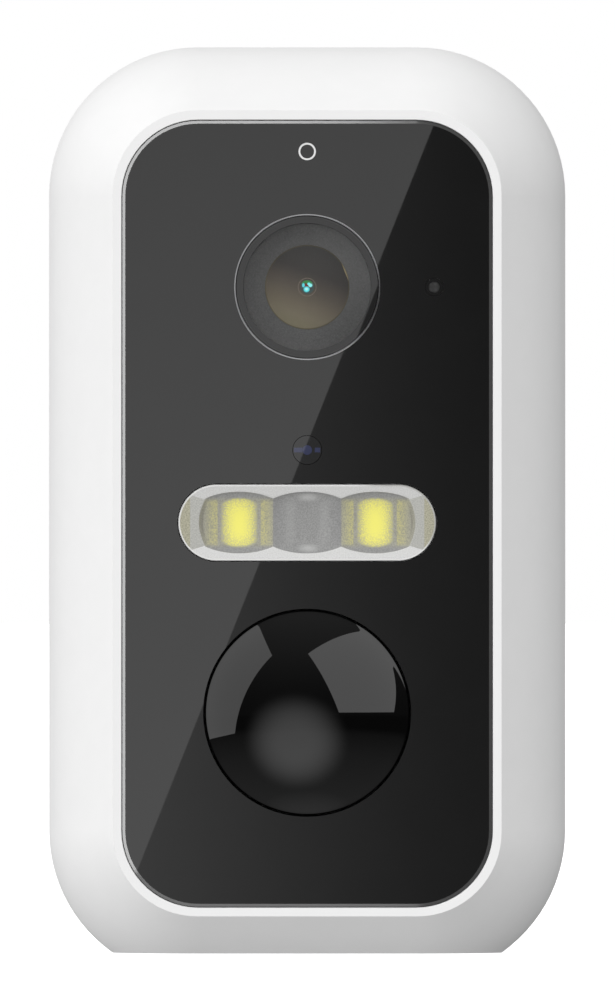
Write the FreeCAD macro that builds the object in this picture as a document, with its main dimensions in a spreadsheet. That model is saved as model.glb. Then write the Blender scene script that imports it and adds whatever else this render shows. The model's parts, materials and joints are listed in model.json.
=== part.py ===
"""Floodlight security camera: every separate piece as its own solid, in mm.

Frame: +Z up, X across the front, the front faces -Y.  The origin lies at the middle of the
flat underside, half way between the tip of the motion-sensor dome and the back face.
"""
import FreeCAD, Part
import math
import os

import Sketcher
from FreeCAD import Placement, Rotation, Vector

doc = FreeCAD.newDocument("floodlight_camera")
dims = doc.addObject("Spreadsheet::Sheet", "dims")
size_rows = []


# ---------------------------------------------------------------- sheet and small helpers

def size(name, value):
    """Write one named size to the sheet and give its value back."""
    size_rows.append(name)
    row = len(size_rows)
    dims.set("A%d" % row, name)
    dims.set("B%d" % row, "%.5f" % value)
    dims.setAlias("B%d" % row, name)
    return value


def bind(item, prop, name, value):
    """Store a size in the sheet and let it drive one property."""
    size(name, value)
    item.setExpression(prop, "dims." + name)


def put(item, name, x, y, z):
    """Place an item with its three coordinates driven by the sheet."""
    for axis, value in zip("xyz", (x, y, z)):
        bind(item, "Placement.Base." + axis, "%s_at_%s" % (name, axis), value)


def box(name, x, y, z, width, depth, height):
    """A block centred on x, with its front at y and its underside at z."""
    item = doc.addObject("Part::Box", name)
    bind(item, "Length", name + "_wide", width)
    bind(item, "Width", name + "_deep", depth)
    bind(item, "Height", name + "_high", height)
    put(item, name, x - width / 2, y, z)
    return item


AXIS_TURN = {
    "X": Rotation(Vector(0, 1, 0), 90),
    "Y": Rotation(Vector(1, 0, 0), -90),
    "Z": Rotation(),
}


def rod(name, axis, x, y, z, radius, length):
    """A round bar that starts at x, y, z and runs along the positive axis."""
    item = doc.addObject("Part::Cylinder", name)
    item.Placement = Placement(Vector(), AXIS_TURN[axis])
    bind(item, "Radius", name + "_radius", radius)
    bind(item, "Height", name + "_long", length)
    put(item, name, x, y, z)
    return item


def fuse(name, *items):
    item = doc.addObject("Part::MultiFuse", name)
    item.Shapes = list(items)
    item.Refine = True
    return item


def group(name, *items):
    """Several separate solids that share one node."""
    item = doc.addObject("Part::Compound", name)
    item.Links = list(items)
    return item


def cut(name, base, *tools):
    item = doc.addObject("Part::Cut", name)
    item.Base = base
    item.Tool = tools[0] if len(tools) == 1 else fuse(name + "_tools", *tools)
    item.Refine = True
    return item


def origin_plane(body, role):
    return [plane for plane in body.Origin.OriginFeatures if plane.Role == role][0]


def tie(sketch, name, kind, point, value):
    """Fix one coordinate of a sketch point from the sketch origin, driven by the sheet."""
    geometry, end = point
    if value == 0:
        axis = -2 if kind == "DistanceX" else -1
        sketch.addConstraint(Sketcher.Constraint("PointOnObject", geometry, end, axis))
        return
    if value < 0:
        rule = Sketcher.Constraint(kind, geometry, end, -1, 1, -value)
    else:
        rule = Sketcher.Constraint(kind, -1, 1, geometry, end, value)
    index = sketch.addConstraint(rule)
    bind(sketch, "Constraints[%d]" % index, name, abs(value))


def outline(body, name, half_width, height, radius, rise=0.0, back=0.0):
    """A rounded rectangle facing the front; it stands on the local x axis."""
    sketch = body.newObject("Sketcher::SketchObject", name)
    sketch.AttachmentSupport = (origin_plane(body, "XZ_Plane"), "")
    sketch.MapMode = "FlatFace"
    bind(sketch, "AttachmentOffset.Base.y", name + "_rise", rise)
    bind(sketch, "AttachmentOffset.Base.z", name + "_back", -back)
    near, far = half_width - radius, height - radius
    centres = [(near, radius, -90), (near, far, 0), (-near, far, 90), (-near, radius, 180)]
    corners = []
    for x, z, start in centres:
        circle = Part.Circle(Vector(x, z, 0), Vector(0, 0, 1), radius)
        first = math.radians(start)
        corners.append(Part.ArcOfCircle(circle, first, first + math.pi / 2))
    for number, corner in enumerate(corners):
        before = corners[number - 1]
        sketch.addGeometry(Part.LineSegment(before.EndPoint, corner.StartPoint), False)
        sketch.addGeometry(corner, False)
    count = 2 * len(corners)
    for number in range(count):
        after = (number + 1) % count
        sketch.addConstraint(Sketcher.Constraint("Tangent", number, 2, after, 1))
    for number, rule in ((0, "Horizontal"), (2, "Vertical"), (4, "Horizontal"), (6, "Vertical")):
        sketch.addConstraint(Sketcher.Constraint(rule, number))
    for number in (3, 5, 7):
        sketch.addConstraint(Sketcher.Constraint("Equal", 1, number))
    index = sketch.addConstraint(Sketcher.Constraint("Radius", 1, radius))
    bind(sketch, "Constraints[%d]" % index, name + "_corner", radius)
    tie(sketch, name + "_right", "DistanceX", (2, 1), half_width)
    tie(sketch, name + "_left", "DistanceX", (6, 1), -half_width)
    tie(sketch, name + "_foot", "DistanceY", (0, 1), 0)
    tie(sketch, name + "_top", "DistanceY", (4, 1), height)
    return sketch


def slab(name, x, low, high, half_width, radius, front, depth, chamfer=None, rear_fillet=0.0):
    """A rounded-rectangle plate that faces the front; a chamfer is given as (width, depth)."""
    body = doc.addObject("PartDesign::Body", name)
    profile = outline(body, name + "_outline", half_width, high - low, radius)
    pad = body.newObject("PartDesign::Pad", name + "_pad")
    pad.Profile = profile
    pad.Reversed = True
    bind(pad, "Length", name + "_thick", depth)
    put(body, name, x, front, low)
    if chamfer:
        doc.recompute()
        edge = body.newObject("PartDesign::Chamfer", name + "_edge")
        edge.Base = (pad, edges_in_plane(pad.Shape, 0.0))
        edge.ChamferType = "Two distances"
        bind(edge, "Size", name + "_chamfer_deep", chamfer[1])
        bind(edge, "Size2", name + "_chamfer_wide", chamfer[0])
    if rear_fillet:
        doc.recompute()
        edge = body.newObject("PartDesign::Fillet", name + "_round")
        edge.Base = (pad, edges_in_plane(pad.Shape, depth))
        bind(edge, "Radius", name + "_fillet", rear_fillet)
    return body


def edges_in_plane(shape, depth):
    """Names of the edges that lie wholly at one depth behind the front."""
    names = []
    for number, edge in enumerate(shape.Edges, 1):
        bounds = edge.BoundBox
        if abs(bounds.YMin - depth) < 1e-4 and abs(bounds.YMax - depth) < 1e-4:
            names.append("Edge%d" % number)
    return names


def arc_between(start, end, radius):
    """An arc from start to end; a positive radius bulges to the left of the way it runs.

    Sketch arcs run counterclockwise, so an arc that bulges left is handed back reversed.
    """
    chord = end - start
    middle = (start + end) / 2
    left = Vector(-chord.y, chord.x, 0).normalize()
    reach = math.sqrt(radius ** 2 - (chord.Length / 2) ** 2)
    sagitta = abs(radius) - reach
    crown = middle + left * math.copysign(sagitta, radius)
    return Part.Arc(end, crown, start) if radius > 0 else Part.Arc(start, crown, end)


def turned(name, axis, x, y, z, points):
    """A solid of revolution from (radius, depth) points; a third value makes the next run an arc."""
    body = doc.addObject("PartDesign::Body", name)
    sketch = body.newObject("Sketcher::SketchObject", name + "_profile")
    sketch.AttachmentSupport = (origin_plane(body, "XY_Plane"), "")
    sketch.MapMode = "FlatFace"
    ends = []
    count = len(points)
    for number, point in enumerate(points):
        start = Vector(point[0], point[1], 0)
        following = points[(number + 1) % count]
        end = Vector(following[0], following[1], 0)
        if len(point) == 3:
            sketch.addGeometry(arc_between(start, end, point[2]), False)
            ends.append((2, 1) if point[2] > 0 else (1, 2))
        else:
            sketch.addGeometry(Part.LineSegment(start, end), False)
            ends.append((1, 2))
    for number in range(count):
        after = (number + 1) % count
        joint = Sketcher.Constraint("Coincident", number, ends[number][1], after, ends[after][0])
        sketch.addConstraint(joint)
    for number, point in enumerate(points):
        corner = (number, ends[number][0])
        tie(sketch, "%s_radius_%s" % (name, letter(number)), "DistanceX", corner, point[0])
        tie(sketch, "%s_depth_%s" % (name, letter(number)), "DistanceY", corner, point[1])
        if len(point) == 3:
            index = sketch.addConstraint(Sketcher.Constraint("Radius", number, abs(point[2])))
            bind(sketch, "Constraints[%d]" % index, "%s_arc_%s" % (name, letter(number)), abs(point[2]))
    turn = body.newObject("PartDesign::Revolution", name + "_turn")
    turn.Profile = sketch
    turn.ReferenceAxis = (sketch, ["V_Axis"])
    turn.Angle = 360
    if axis == "Z":
        body.Placement = Placement(Vector(), Rotation(Vector(1, 0, 0), 90))
    put(body, name, x, y, z)
    return body


def letter(number):
    return "abcdefghijklmnopqrstuvwxyz"[number]


def pairs(name, maker, places):
    """The same piece at several places, each made by maker(name, x, z)."""
    return [maker("%s_%s" % (name, letter(number)), x, z) for number, (x, z) in enumerate(places)]


# ---------------------------------------------------------------- driving dimensions

body_width = size("body_width", 54.74)
body_top = size("body_top", 96.0)
corner_radius = size("corner_radius", 15.74)
virtual_foot = size("virtual_foot", -2.82)      # where the outline would end without its flat
total_depth = size("total_depth", 59.0)
dome_proud = size("dome_proud", 4.1)
rear_y = total_depth / 2
rim_y = dome_proud - rear_y
wall = size("wall", 2.2)
split_y = size("split_y", 12.0)
seal_gap = size("seal_gap", 0.6)

rim_inset = size("rim_inset", 6.83)
rim_width = size("rim_width", 0.92)
lip_chamfer = size("lip_chamfer", 0.06)
bevel_depth = size("bevel_depth", 11.5)

panel_recess = size("panel_recess", 0.10)
panel_thick = size("panel_thick", 1.5)
panel_gap = size("panel_gap", 0.10)
panel_edge_wide = size("panel_edge_wide", 0.30)
panel_edge_deep = size("panel_edge_deep", 0.10)
tape_thick = size("tape_thick", 0.15)
web_thick = size("web_thick", 1.5)
panel_y = rim_y + panel_recess
panel_back_y = panel_y + panel_thick
web_y = panel_back_y + tape_thick
web_back_y = web_y + web_thick

camera_z = size("camera_z", 70.50)
status_z = size("status_z", 84.82)
ambient_z = size("ambient_z", 53.28)
flood_z = size("flood_z", 45.61)
motion_z = size("motion_z", 25.52)
dome_radius = size("dome_radius", 10.78)
mic_x = size("mic_x", 13.42)
led_pitch = size("led_pitch", 14.37)

half_width = body_width / 2
opening_inset = rim_inset + rim_width
opening_drop = size("opening_drop", 0.08)       # the rim is this much wider above the panel
opening_round = size("opening_round", 0.15)     # added to the corner radius of the opening

screw_shank = size("screw_shank", 1.25)
thread_fit = size("thread_fit", 0.01)
CLEAR = 1.0                                     # a cutting tool starts this far outside its piece
THROUGH = 4.0                                   # and is this long where it goes right through


def body_slab(name, inset, front, depth, rear_fillet=0.0):
    """A slice of the body outline, drawn in by an inset, with its foot cut flat."""
    shape = slab(name + "_full", 0, virtual_foot + inset, body_top - inset, half_width - inset,
                 corner_radius - inset, front, depth, rear_fillet=rear_fillet)
    below = box(name + "_below", 0, front - 1, inset - 10, body_width, depth + 2, 10)
    return cut(name, shape, below)


def opening_slab(name, inset, front, depth, chamfer=None):
    """A plate with the outline of the panel's opening, drawn in by an inset."""
    return slab(name, 0, virtual_foot + inset, body_top - inset - opening_drop, half_width - inset,
                corner_radius - inset + opening_round, front, depth, chamfer=chamfer)


def loft(name, front, sections, ruled, straight, drop=0.0, rounder=0.0):
    """Body outlines at growing depths, joined, then run straight back."""
    body = doc.addObject("PartDesign::Body", name)
    sketches = []
    for number, (depth, inset) in enumerate(sections):
        sketches.append(outline(body, "%s_section_%s" % (name, letter(number)), half_width - inset,
                                body_top - virtual_foot - 2 * inset - drop,
                                corner_radius - inset + rounder, rise=inset, back=depth))
    skin = body.newObject("PartDesign::AdditiveLoft", name + "_skin")
    skin.Profile = sketches[0]
    skin.Sections = sketches[1:]
    skin.Ruled = ruled
    if straight:
        doc.recompute()
        pad = body.newObject("PartDesign::Pad", name + "_straight")
        pad.Profile = sketches[-1]
        pad.Reversed = True
        bind(pad, "Length", name + "_run", straight)
    put(body, name, 0, front, virtual_foot)
    return body


# ---------------------------------------------------------------- front housing

post_places = [(-17.8, 24.0), (17.8, 24.0), (-17.8, 78.0), (17.8, 78.0)]
corner_screws = [(-16.5, 10.5), (16.5, 10.5)]
rear_post_end_y = size("rear_post_end_y", 19.9)
rear_pilot_y = size("rear_pilot_y", 12.0)
speaker_y = size("speaker_y", -4.0)
grille_ring_radius = size("grille_ring_radius", 4.0)
grille_hole_radius = size("grille_hole_radius", 0.8)
chassis_y = size("chassis_y", -9.0)
chassis_thick = size("chassis_thick", 1.4)


def front_housing():
    bevel = [(0.0, rim_inset), (3.0, 4.35), (6.0, 2.25), (9.0, 0.75), (bevel_depth, 0.0)]
    outer = loft("front_shell", rim_y, bevel, False, split_y - rim_y - bevel_depth)
    foot = box("front_foot_cut", 0, rim_y - 1, -10, body_width, split_y - rim_y + 2, 10)
    cavity = loft("front_cavity", web_back_y, [(0.0, rim_inset + 0.1), (bevel_depth - 3.4, wall)],
                  True, split_y - web_back_y - bevel_depth + 3.4)
    floor = box("front_floor", 0, web_back_y - 1, wall - 10, body_width, split_y - web_back_y + 2, 10)
    hollow = cut("front_hollow", cavity, floor)
    seat = opening_slab("panel_seat", opening_inset, rim_y - CLEAR, web_y - rim_y + CLEAR)
    lip = loft("panel_lip", rim_y, [(0.0, opening_inset - lip_chamfer), (lip_chamfer, opening_inset)],
               True, 0, drop=opening_drop, rounder=opening_round)
    front = web_y - CLEAR
    holes = [
        rod("web_lens_hole", "Y", 0, front, camera_z, 7.2, THROUGH),
        rod("web_mic_hole", "Y", mic_x, front, camera_z, 0.8, THROUGH),
        rod("web_status_hole", "Y", 0, front, status_z, 1.1, THROUGH),
        rod("web_ambient_hole", "Y", 0, front, ambient_z, 1.8, THROUGH),
        rod("web_motion_hole", "Y", 0, front, motion_z, dome_radius + 0.32, THROUGH),
        slab("web_flood_hole", 0, flood_z - 4.6, flood_z + 4.6, 14.3, 4.59, front, THROUGH),
    ]
    root_y = web_back_y - 0.5                   # posts are rooted half a millimetre inside the web
    posts = pairs("chassis_post", lambda n, x, z: rod(
        n, "Y", x, root_y, z, 2.3, chassis_y - root_y), post_places)
    long_posts = pairs("rear_post", lambda n, x, z: rod(
        n, "Y", x, root_y, z, 2.8, rear_post_end_y - root_y), corner_screws)
    pilot_radius = screw_shank + thread_fit
    pilots = pairs("chassis_pilot", lambda n, x, z: rod(
        n, "Y", x, chassis_y - 7, z, pilot_radius, 7 + CLEAR), post_places)
    long_pilots = pairs("rear_pilot", lambda n, x, z: rod(
        n, "Y", x, rear_pilot_y, z, pilot_radius, rear_post_end_y - rear_pilot_y + CLEAR), corner_screws)
    grille = []
    for ring in range(7):
        angle = math.radians(60 * ring)
        reach = 0.0 if ring == 6 else grille_ring_radius
        grille.append(rod("grille_hole_" + letter(ring), "Z", reach * math.cos(angle),
                          speaker_y + reach * math.sin(angle), -CLEAR, grille_hole_radius, wall + 2 * CLEAR))
    shell = cut("front_shell_open", outer, foot, hollow, seat, lip, *holes)
    filled = fuse("front_shell_posts", shell, *posts, *long_posts)
    return cut("front_housing", filled, *pilots, *long_pilots, *grille)


# ---------------------------------------------------------------- rear housing and what it carries

mount_z = size("mount_z", 54.0)
button_z = size("button_z", 78.0)
hinge_y = size("hinge_y", 28.2)
hinge_z = size("hinge_z", 10.1)
hinge_pin_radius = size("hinge_pin_radius", 0.5)
knuckle_radius = size("knuckle_radius", 1.1)
cover_half_width = size("cover_half_width", 12.2)
cover_top = size("cover_top", 20.1)
cover_gap = size("cover_gap", 0.3)
recess_floor_y = size("recess_floor_y", 26.3)
recess_corner = size("recess_corner", 0.8)      # small enough for the opened cover to turn clear of it
screw_head_y = size("screw_head_y", 25.4)
plug_y = size("plug_y", 27.3)
usb_x = size("usb_x", -5.4)
usb_z = size("usb_z", 15.8)
card_x = size("card_x", 2.0)
card_z = size("card_z", 12.3)
reset_x = size("reset_x", 6.5)
reset_z = size("reset_z", 16.0)
rear_front_y = split_y + seal_gap
pin_end = cover_half_width + 1.4


def rear_housing():
    outer = body_slab("rear_outer", 0.0, rear_front_y, rear_y - rear_front_y, rear_fillet=8.0)
    tongue = body_slab("rear_tongue", wall + 0.12, split_y - 2.4, rear_front_y - split_y + 2.8)
    inner = body_slab("rear_inner", wall + 1.3, split_y - 3.4, 5.0)
    hollow = body_slab("rear_hollow", wall, rear_front_y + 0.4, rear_y - wall - rear_front_y - 0.4,
                       rear_fillet=5.5)
    well = box("port_well", 0, 24.3, 6.8, 28.6, 3.4, 15.4)
    bosses = pairs("screw_boss", lambda n, x, z: rod(n, "Y", x, 20.2, z, 3.3, 7.5), corner_screws)
    mount_boss = rod("mount_boss", "Y", 0, 20.4, mount_z, 7.0, 7.2)
    switch_boss = rod("switch_boss", "Y", 0, 21.0, button_z, 7.0, 6.6)
    shell = cut("rear_shell", fuse("rear_skin", outer, tongue), inner, hollow)
    solid = fuse("rear_solid", shell, well, mount_boss, switch_boss, *bosses)
    openings = [
        slab("port_recess", 0, hinge_z - knuckle_radius - 0.4, cover_top + cover_gap,
             cover_half_width + cover_gap, recess_corner, recess_floor_y, 4),
        slab("usb_window", usb_x, usb_z - 1.8, usb_z + 1.8, 4.7, 1.75, 23, 4),
        slab("card_window", card_x, card_z - 0.8, card_z + 0.8, 6.1, 0.3, 23, 4),
        rod("reset_hole", "Y", reset_x, 23, reset_z, 1.04, 4),
        rod("insert_hole", "Y", 0, 21.3, mount_z, 4.5, 9),
        rod("button_hole", "Y", 0, 20, button_z, 4.59, 11),
        rod("button_bore", "Y", 0, 20, button_z, 5.6, 7.3),
        rod("hinge_hole", "X", -pin_end - 0.1, hinge_y, hinge_z, hinge_pin_radius + 0.02, 2 * pin_end + 0.2),
    ]
    openings += pairs("screw_way", lambda n, x, z: rod(
        n, "Y", x, 19, z, screw_shank + 0.15, 11), corner_screws)
    openings += pairs("screw_head_way", lambda n, x, z: rod(
        n, "Y", x, screw_head_y, z, 2.4, 5), corner_screws)
    return cut("rear_housing", solid, *openings)


def housing_seal():
    ring = body_slab("seal_outer", 0.45, split_y, seal_gap)
    bore = body_slab("seal_inner", wall, split_y - 1, seal_gap + 2)
    return cut("housing_seal", ring, bore)


def screw(name, x, z, head_y, head_radius, head_long, shank_radius, shank_long, recess):
    """A pan-head screw driven towards the front, with a round socket in its head."""
    head = rod(name + "_head", "Y", x, head_y, z, head_radius, head_long)
    shank = rod(name + "_shank", "Y", x, head_y - shank_long, z, shank_radius, shank_long + 0.2)
    socket = rod(name + "_socket", "Y", x, head_y + head_long - recess, z, head_radius * 0.45, recess + 1)
    return cut(name, fuse(name + "_blank", head, shank), socket)


def fasteners():
    group("housing_screws", *pairs("housing_screw", lambda n, x, z: screw(
        n, x, z, screw_head_y, 2.2, 1.7, screw_shank, 12.0, 0.9), corner_screws))
    group("screw_plugs", *pairs("screw_plug", lambda n, x, z: rod(
        n, "Y", x, plug_y, z, 2.35, 2.0), corner_screws))
    group("chassis_screws", *pairs("chassis_screw", lambda n, x, z: screw(
        n, x, z, chassis_y + chassis_thick, 2.0, 1.4, screw_shank, 6.5, 0.7), post_places))
    group("board_screws", *pairs("board_screw", lambda n, x, z: screw(
        n, x, z, -1.0, 1.8, 1.3, 1.0, 5.2, 0.7), board_places))


def port_cover():
    """The flap over the sockets: plate, hinge barrel, sealing rib and a groove to pull it open."""
    plate = slab("cover_plate", 0, hinge_z, cover_top, cover_half_width, 0.9, hinge_y - 0.8, 2.0)
    barrel = rod("cover_barrel", "X", -cover_half_width, hinge_y, hinge_z, knuckle_radius,
                 2 * cover_half_width)
    rib_low, rib_high, rib_thick = 11.9, cover_top - 0.9, 0.8
    rib_half_width = cover_half_width - 1.2
    rib = slab("cover_rib", 0, rib_low, rib_high, rib_half_width, 1.2, hinge_y - 1.4, 0.8)
    rib_hollow = slab("cover_rib_hollow", 0, rib_low + rib_thick, rib_high - rib_thick,
                      rib_half_width - rib_thick, 0.8, hinge_y - 2, 1.3)
    pull_half = 3.5
    pull = rod("cover_pull", "X", -pull_half, hinge_y + 1.5, cover_top - 1.1, 0.5, 2 * pull_half)
    bore = rod("cover_bore", "X", -cover_half_width - CLEAR, hinge_y, hinge_z, hinge_pin_radius + 0.06,
               2 * (cover_half_width + CLEAR))
    seal = cut("cover_seal", rib, rib_hollow)
    cut("port_cover", fuse("cover_blank", plate, barrel, seal), bore, pull)
    rod("port_cover_pin", "X", -pin_end, hinge_y, hinge_z, hinge_pin_radius, 2 * pin_end)


def mount_insert():
    """The brass nut for a quarter-inch tripod screw, moulded into the back by its two grooves."""
    insert_y = 21.5
    insert_radius = 4.45
    quarter_inch_bore = 6.35 / 2
    sleeve = rod("insert_sleeve", "Y", 0, insert_y, mount_z, insert_radius, rear_y - insert_y)
    thread = rod("insert_thread", "Y", 0, insert_y + 1, mount_z, quarter_inch_bore, rear_y - insert_y)
    groove = [cut("insert_groove_" + letter(n),
                  rod("insert_ring_%s" % letter(n), "Y", 0, y, mount_z, insert_radius + 0.15, 0.8),
                  rod("insert_core_%s" % letter(n), "Y", 0, y - CLEAR, mount_z, insert_radius - 0.35, 3))
              for n, y in enumerate((insert_y + 2.0, insert_y + 4.8))]
    cut("mount_insert", sleeve, thread, *groove)


def buttons():
    turned("power_button", "Y", 0, 24.1, button_z, [
        (0, 0), (1.5, 0), (1.5, 2.0), (5.4, 2.0), (5.4, 2.8), (4.5, 2.8), (4.5, 4.9), (4.1, 5.2), (0, 5.2)])
    switch = box("power_switch_case", 0, 21.0, button_z - 3, 6, 3.3, 6)
    cut("power_switch", switch, rod("power_switch_well", "Y", 0, 22.8, button_z, 1.8, 3))
    box("button_board", 0, 20.2, button_z - 6, 11, 0.8, 12)
    turned("reset_button", "Y", reset_x, 22.7, reset_z, [
        (0, 0), (0.75, 0), (0.75, 0.8), (1.6, 0.8), (1.6, 1.3), (0.95, 1.3), (0.95, 4.1), (0, 4.1)])
    case = box("reset_switch_case", reset_x, 19.8, 14.2, 4.4, 3.4, 3.5)
    cut("reset_switch", case, rod("reset_switch_well", "Y", reset_x, 22.0, reset_z, 1.0, 2))


def sockets():
    box("io_board", 0, 12.0, 13.2, 25.4, 12.2, 1.0)
    shell = slab("usb_shell", usb_x, usb_z - 1.6, usb_z + 1.6, 4.47, 1.55, 17.0, 7.2)
    mouth = slab("usb_mouth", usb_x, usb_z - 1.3, usb_z + 1.3, 4.17, 1.25, 18.2, 7)
    tongue = box("usb_tongue", usb_x, 18.0, usb_z - 0.35, 6.6, 5.4, 0.7)
    fuse("usb_socket", cut("usb_case", shell, mouth), tongue)
    tray = box("card_case", card_x, 10.5, 11.3, 14.0, 13.7, 1.9)
    slot = box("card_slot", card_x, 12.0, card_z - 0.45, 11.3, 13, 0.95)
    cut("microsd_socket", tray, slot)


# ---------------------------------------------------------------- front panel and its windows

status_led_y = size("status_led_y", -3.4)
mic_y = size("mic_y", -16.6)
lens_ring_radius = size("lens_ring_radius", 7.71)
status_ring_radius = size("status_ring_radius", 0.92)
mic_port_radius = size("mic_port_radius", 0.93)
ambient_radius = size("ambient_radius", 1.53)
pill_half_width = size("pill_half_width", 13.62)
pill_half_height = size("pill_half_height", 4.02)
dome_skin = size("dome_skin", 0.7)
flange_radius = size("flange_radius", 11.9)
flange_thick = size("flange_thick", 0.8)


def front_panel():
    inset = opening_inset + panel_gap
    glass = opening_slab("panel_blank", inset, panel_y, panel_thick,
                         chamfer=(panel_edge_wide, panel_edge_deep))
    front = panel_y - CLEAR
    fit = 0.03
    flood_half_width = pill_half_width + 0.12
    flood_half_height = pill_half_height + 0.12
    holes = [
        rod("panel_lens_hole", "Y", 0, front, camera_z, lens_ring_radius + fit, THROUGH),
        rod("panel_mic_hole", "Y", mic_x, front, camera_z, mic_port_radius + fit, THROUGH),
        rod("panel_status_hole", "Y", 0, front, status_z, status_ring_radius + fit, THROUGH),
        rod("panel_ambient_hole", "Y", 0, front, ambient_z, ambient_radius + fit, THROUGH),
        rod("panel_motion_hole", "Y", 0, front, motion_z, dome_radius + 0.22, THROUGH),
        slab("panel_flood_hole", 0, flood_z - flood_half_height, flood_z + flood_half_height,
             flood_half_width, flood_half_height - 0.01, front, THROUGH),
    ]
    cut("front_panel", glass, *holes)
    tape_inset, tape_width = inset + 0.5, 1.4
    tape = opening_slab("tape_blank", tape_inset, panel_back_y, tape_thick)
    window = opening_slab("tape_window", tape_inset + tape_width, panel_back_y - CLEAR, 3)
    cut("panel_tape", tape, window)


def panel_inserts():
    core_radius = status_ring_radius - 0.19
    pipe_long = status_led_y - 0.25 - panel_y
    turned("status_light_pipe", "Y", 0, panel_y, status_z, [
        (core_radius, 0), (status_ring_radius, 0), (status_ring_radius, 3.2), (1.8, 3.2), (1.8, 4.0),
        (0.90, 4.0), (0.90, pipe_long), (0, pipe_long), (0, 1.2), (core_radius, 1.2)])
    rod("status_light_core", "Y", 0, panel_y, status_z, core_radius - 0.01, 1.15)
    box("status_led", 0, status_led_y, status_z - 0.8, 1.6, 0.8, 1.6)
    turned("mic_port", "Y", mic_x, panel_y, camera_z, [
        (0.62, 0), (mic_port_radius, 0), (mic_port_radius, 1.55), (0.3, 1.55), (0.3, 1.2), (0.62, 1.2)])
    turned("mic_boot", "Y", mic_x, web_back_y, camera_z, [
        (0.7, 0), (2.4, 0), (2.4, mic_y - web_back_y), (0.7, mic_y - web_back_y)])
    board = box("mic_board", mic_x + 0.3, mic_y + 1.1, camera_z - 3, 7.0, 0.9, 6.0)
    capsule = box("mic_capsule", mic_x, mic_y, camera_z - 1.4, 3.6, 1.1, 2.8)
    fuse("microphone", board, capsule)
    rod("ambient_window", "Y", 0, panel_y, ambient_z, ambient_radius, panel_thick)
    box("light_sensor", 0, -19.4, ambient_z - 1.1, 2.2, 1.0, 2.2)


# ---------------------------------------------------------------- camera module

def lens_stack():
    turned("lens_ring", "Y", 0, panel_y - 0.05, camera_z, [
        (7.52, 0), (lens_ring_radius, 0), (lens_ring_radius, web_y - panel_y + 0.05),
        (6.95, web_y - panel_y + 0.05), (6.95, 1.2), (7.52, 1.2)])
    rod("lens_window", "Y", 0, panel_y + 0.15, camera_z, 7.49, 1.0)
    barrel_y = panel_y + 2.25
    barrel_long = -11.3 - barrel_y
    turned("lens_barrel", "Y", 0, barrel_y, camera_z, [
        (4.48, 0), (6.73, 0), (6.73, 5.1), (6.0, 5.1), (6.0, barrel_long), (3.35, barrel_long),
        (3.35, 1.6), (4.48, 1.6)])
    turned("lens_front_element", "Y", 0, barrel_y - 0.9, camera_z, [
        (0, 0, -10.94), (4.46, 0.95), (4.46, 2.5), (0, 2.5)])
    turned("lens_rear_element", "Y", 0, -14.2, camera_z, [
        (0, 0, -9.6), (3.33, 0.6), (3.33, 1.8), (0, 1.8)])


def lens_holder():
    block = box("holder_block", 0, -16.0, camera_z - 8.5, 17.0, 4.5, 17.0)
    chamber = box("holder_chamber", 0, -12.2, camera_z - 8.5, 23.0, 5.8, 17.0)
    bore = rod("holder_bore", "Y", 0, -17, camera_z, 6.04, 8)
    room = box("holder_room", 0, -11.0, camera_z - 7.5, 21.2, 6, 15.0)
    gate = box("holder_gate", 0, -11.0, camera_z - 9.5, 9.4, 6, 4.0)
    cut("lens_holder", fuse("holder_blank", block, chamber), bore, room, gate)
    box("sensor_board", 0, -6.4, camera_z - 9.5, 23.0, 1.0, 19.0)
    box("image_sensor", 0, -7.3, camera_z - 3.1, 7.6, 0.9, 6.2)


pivot_z = camera_z - 11.5


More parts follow.
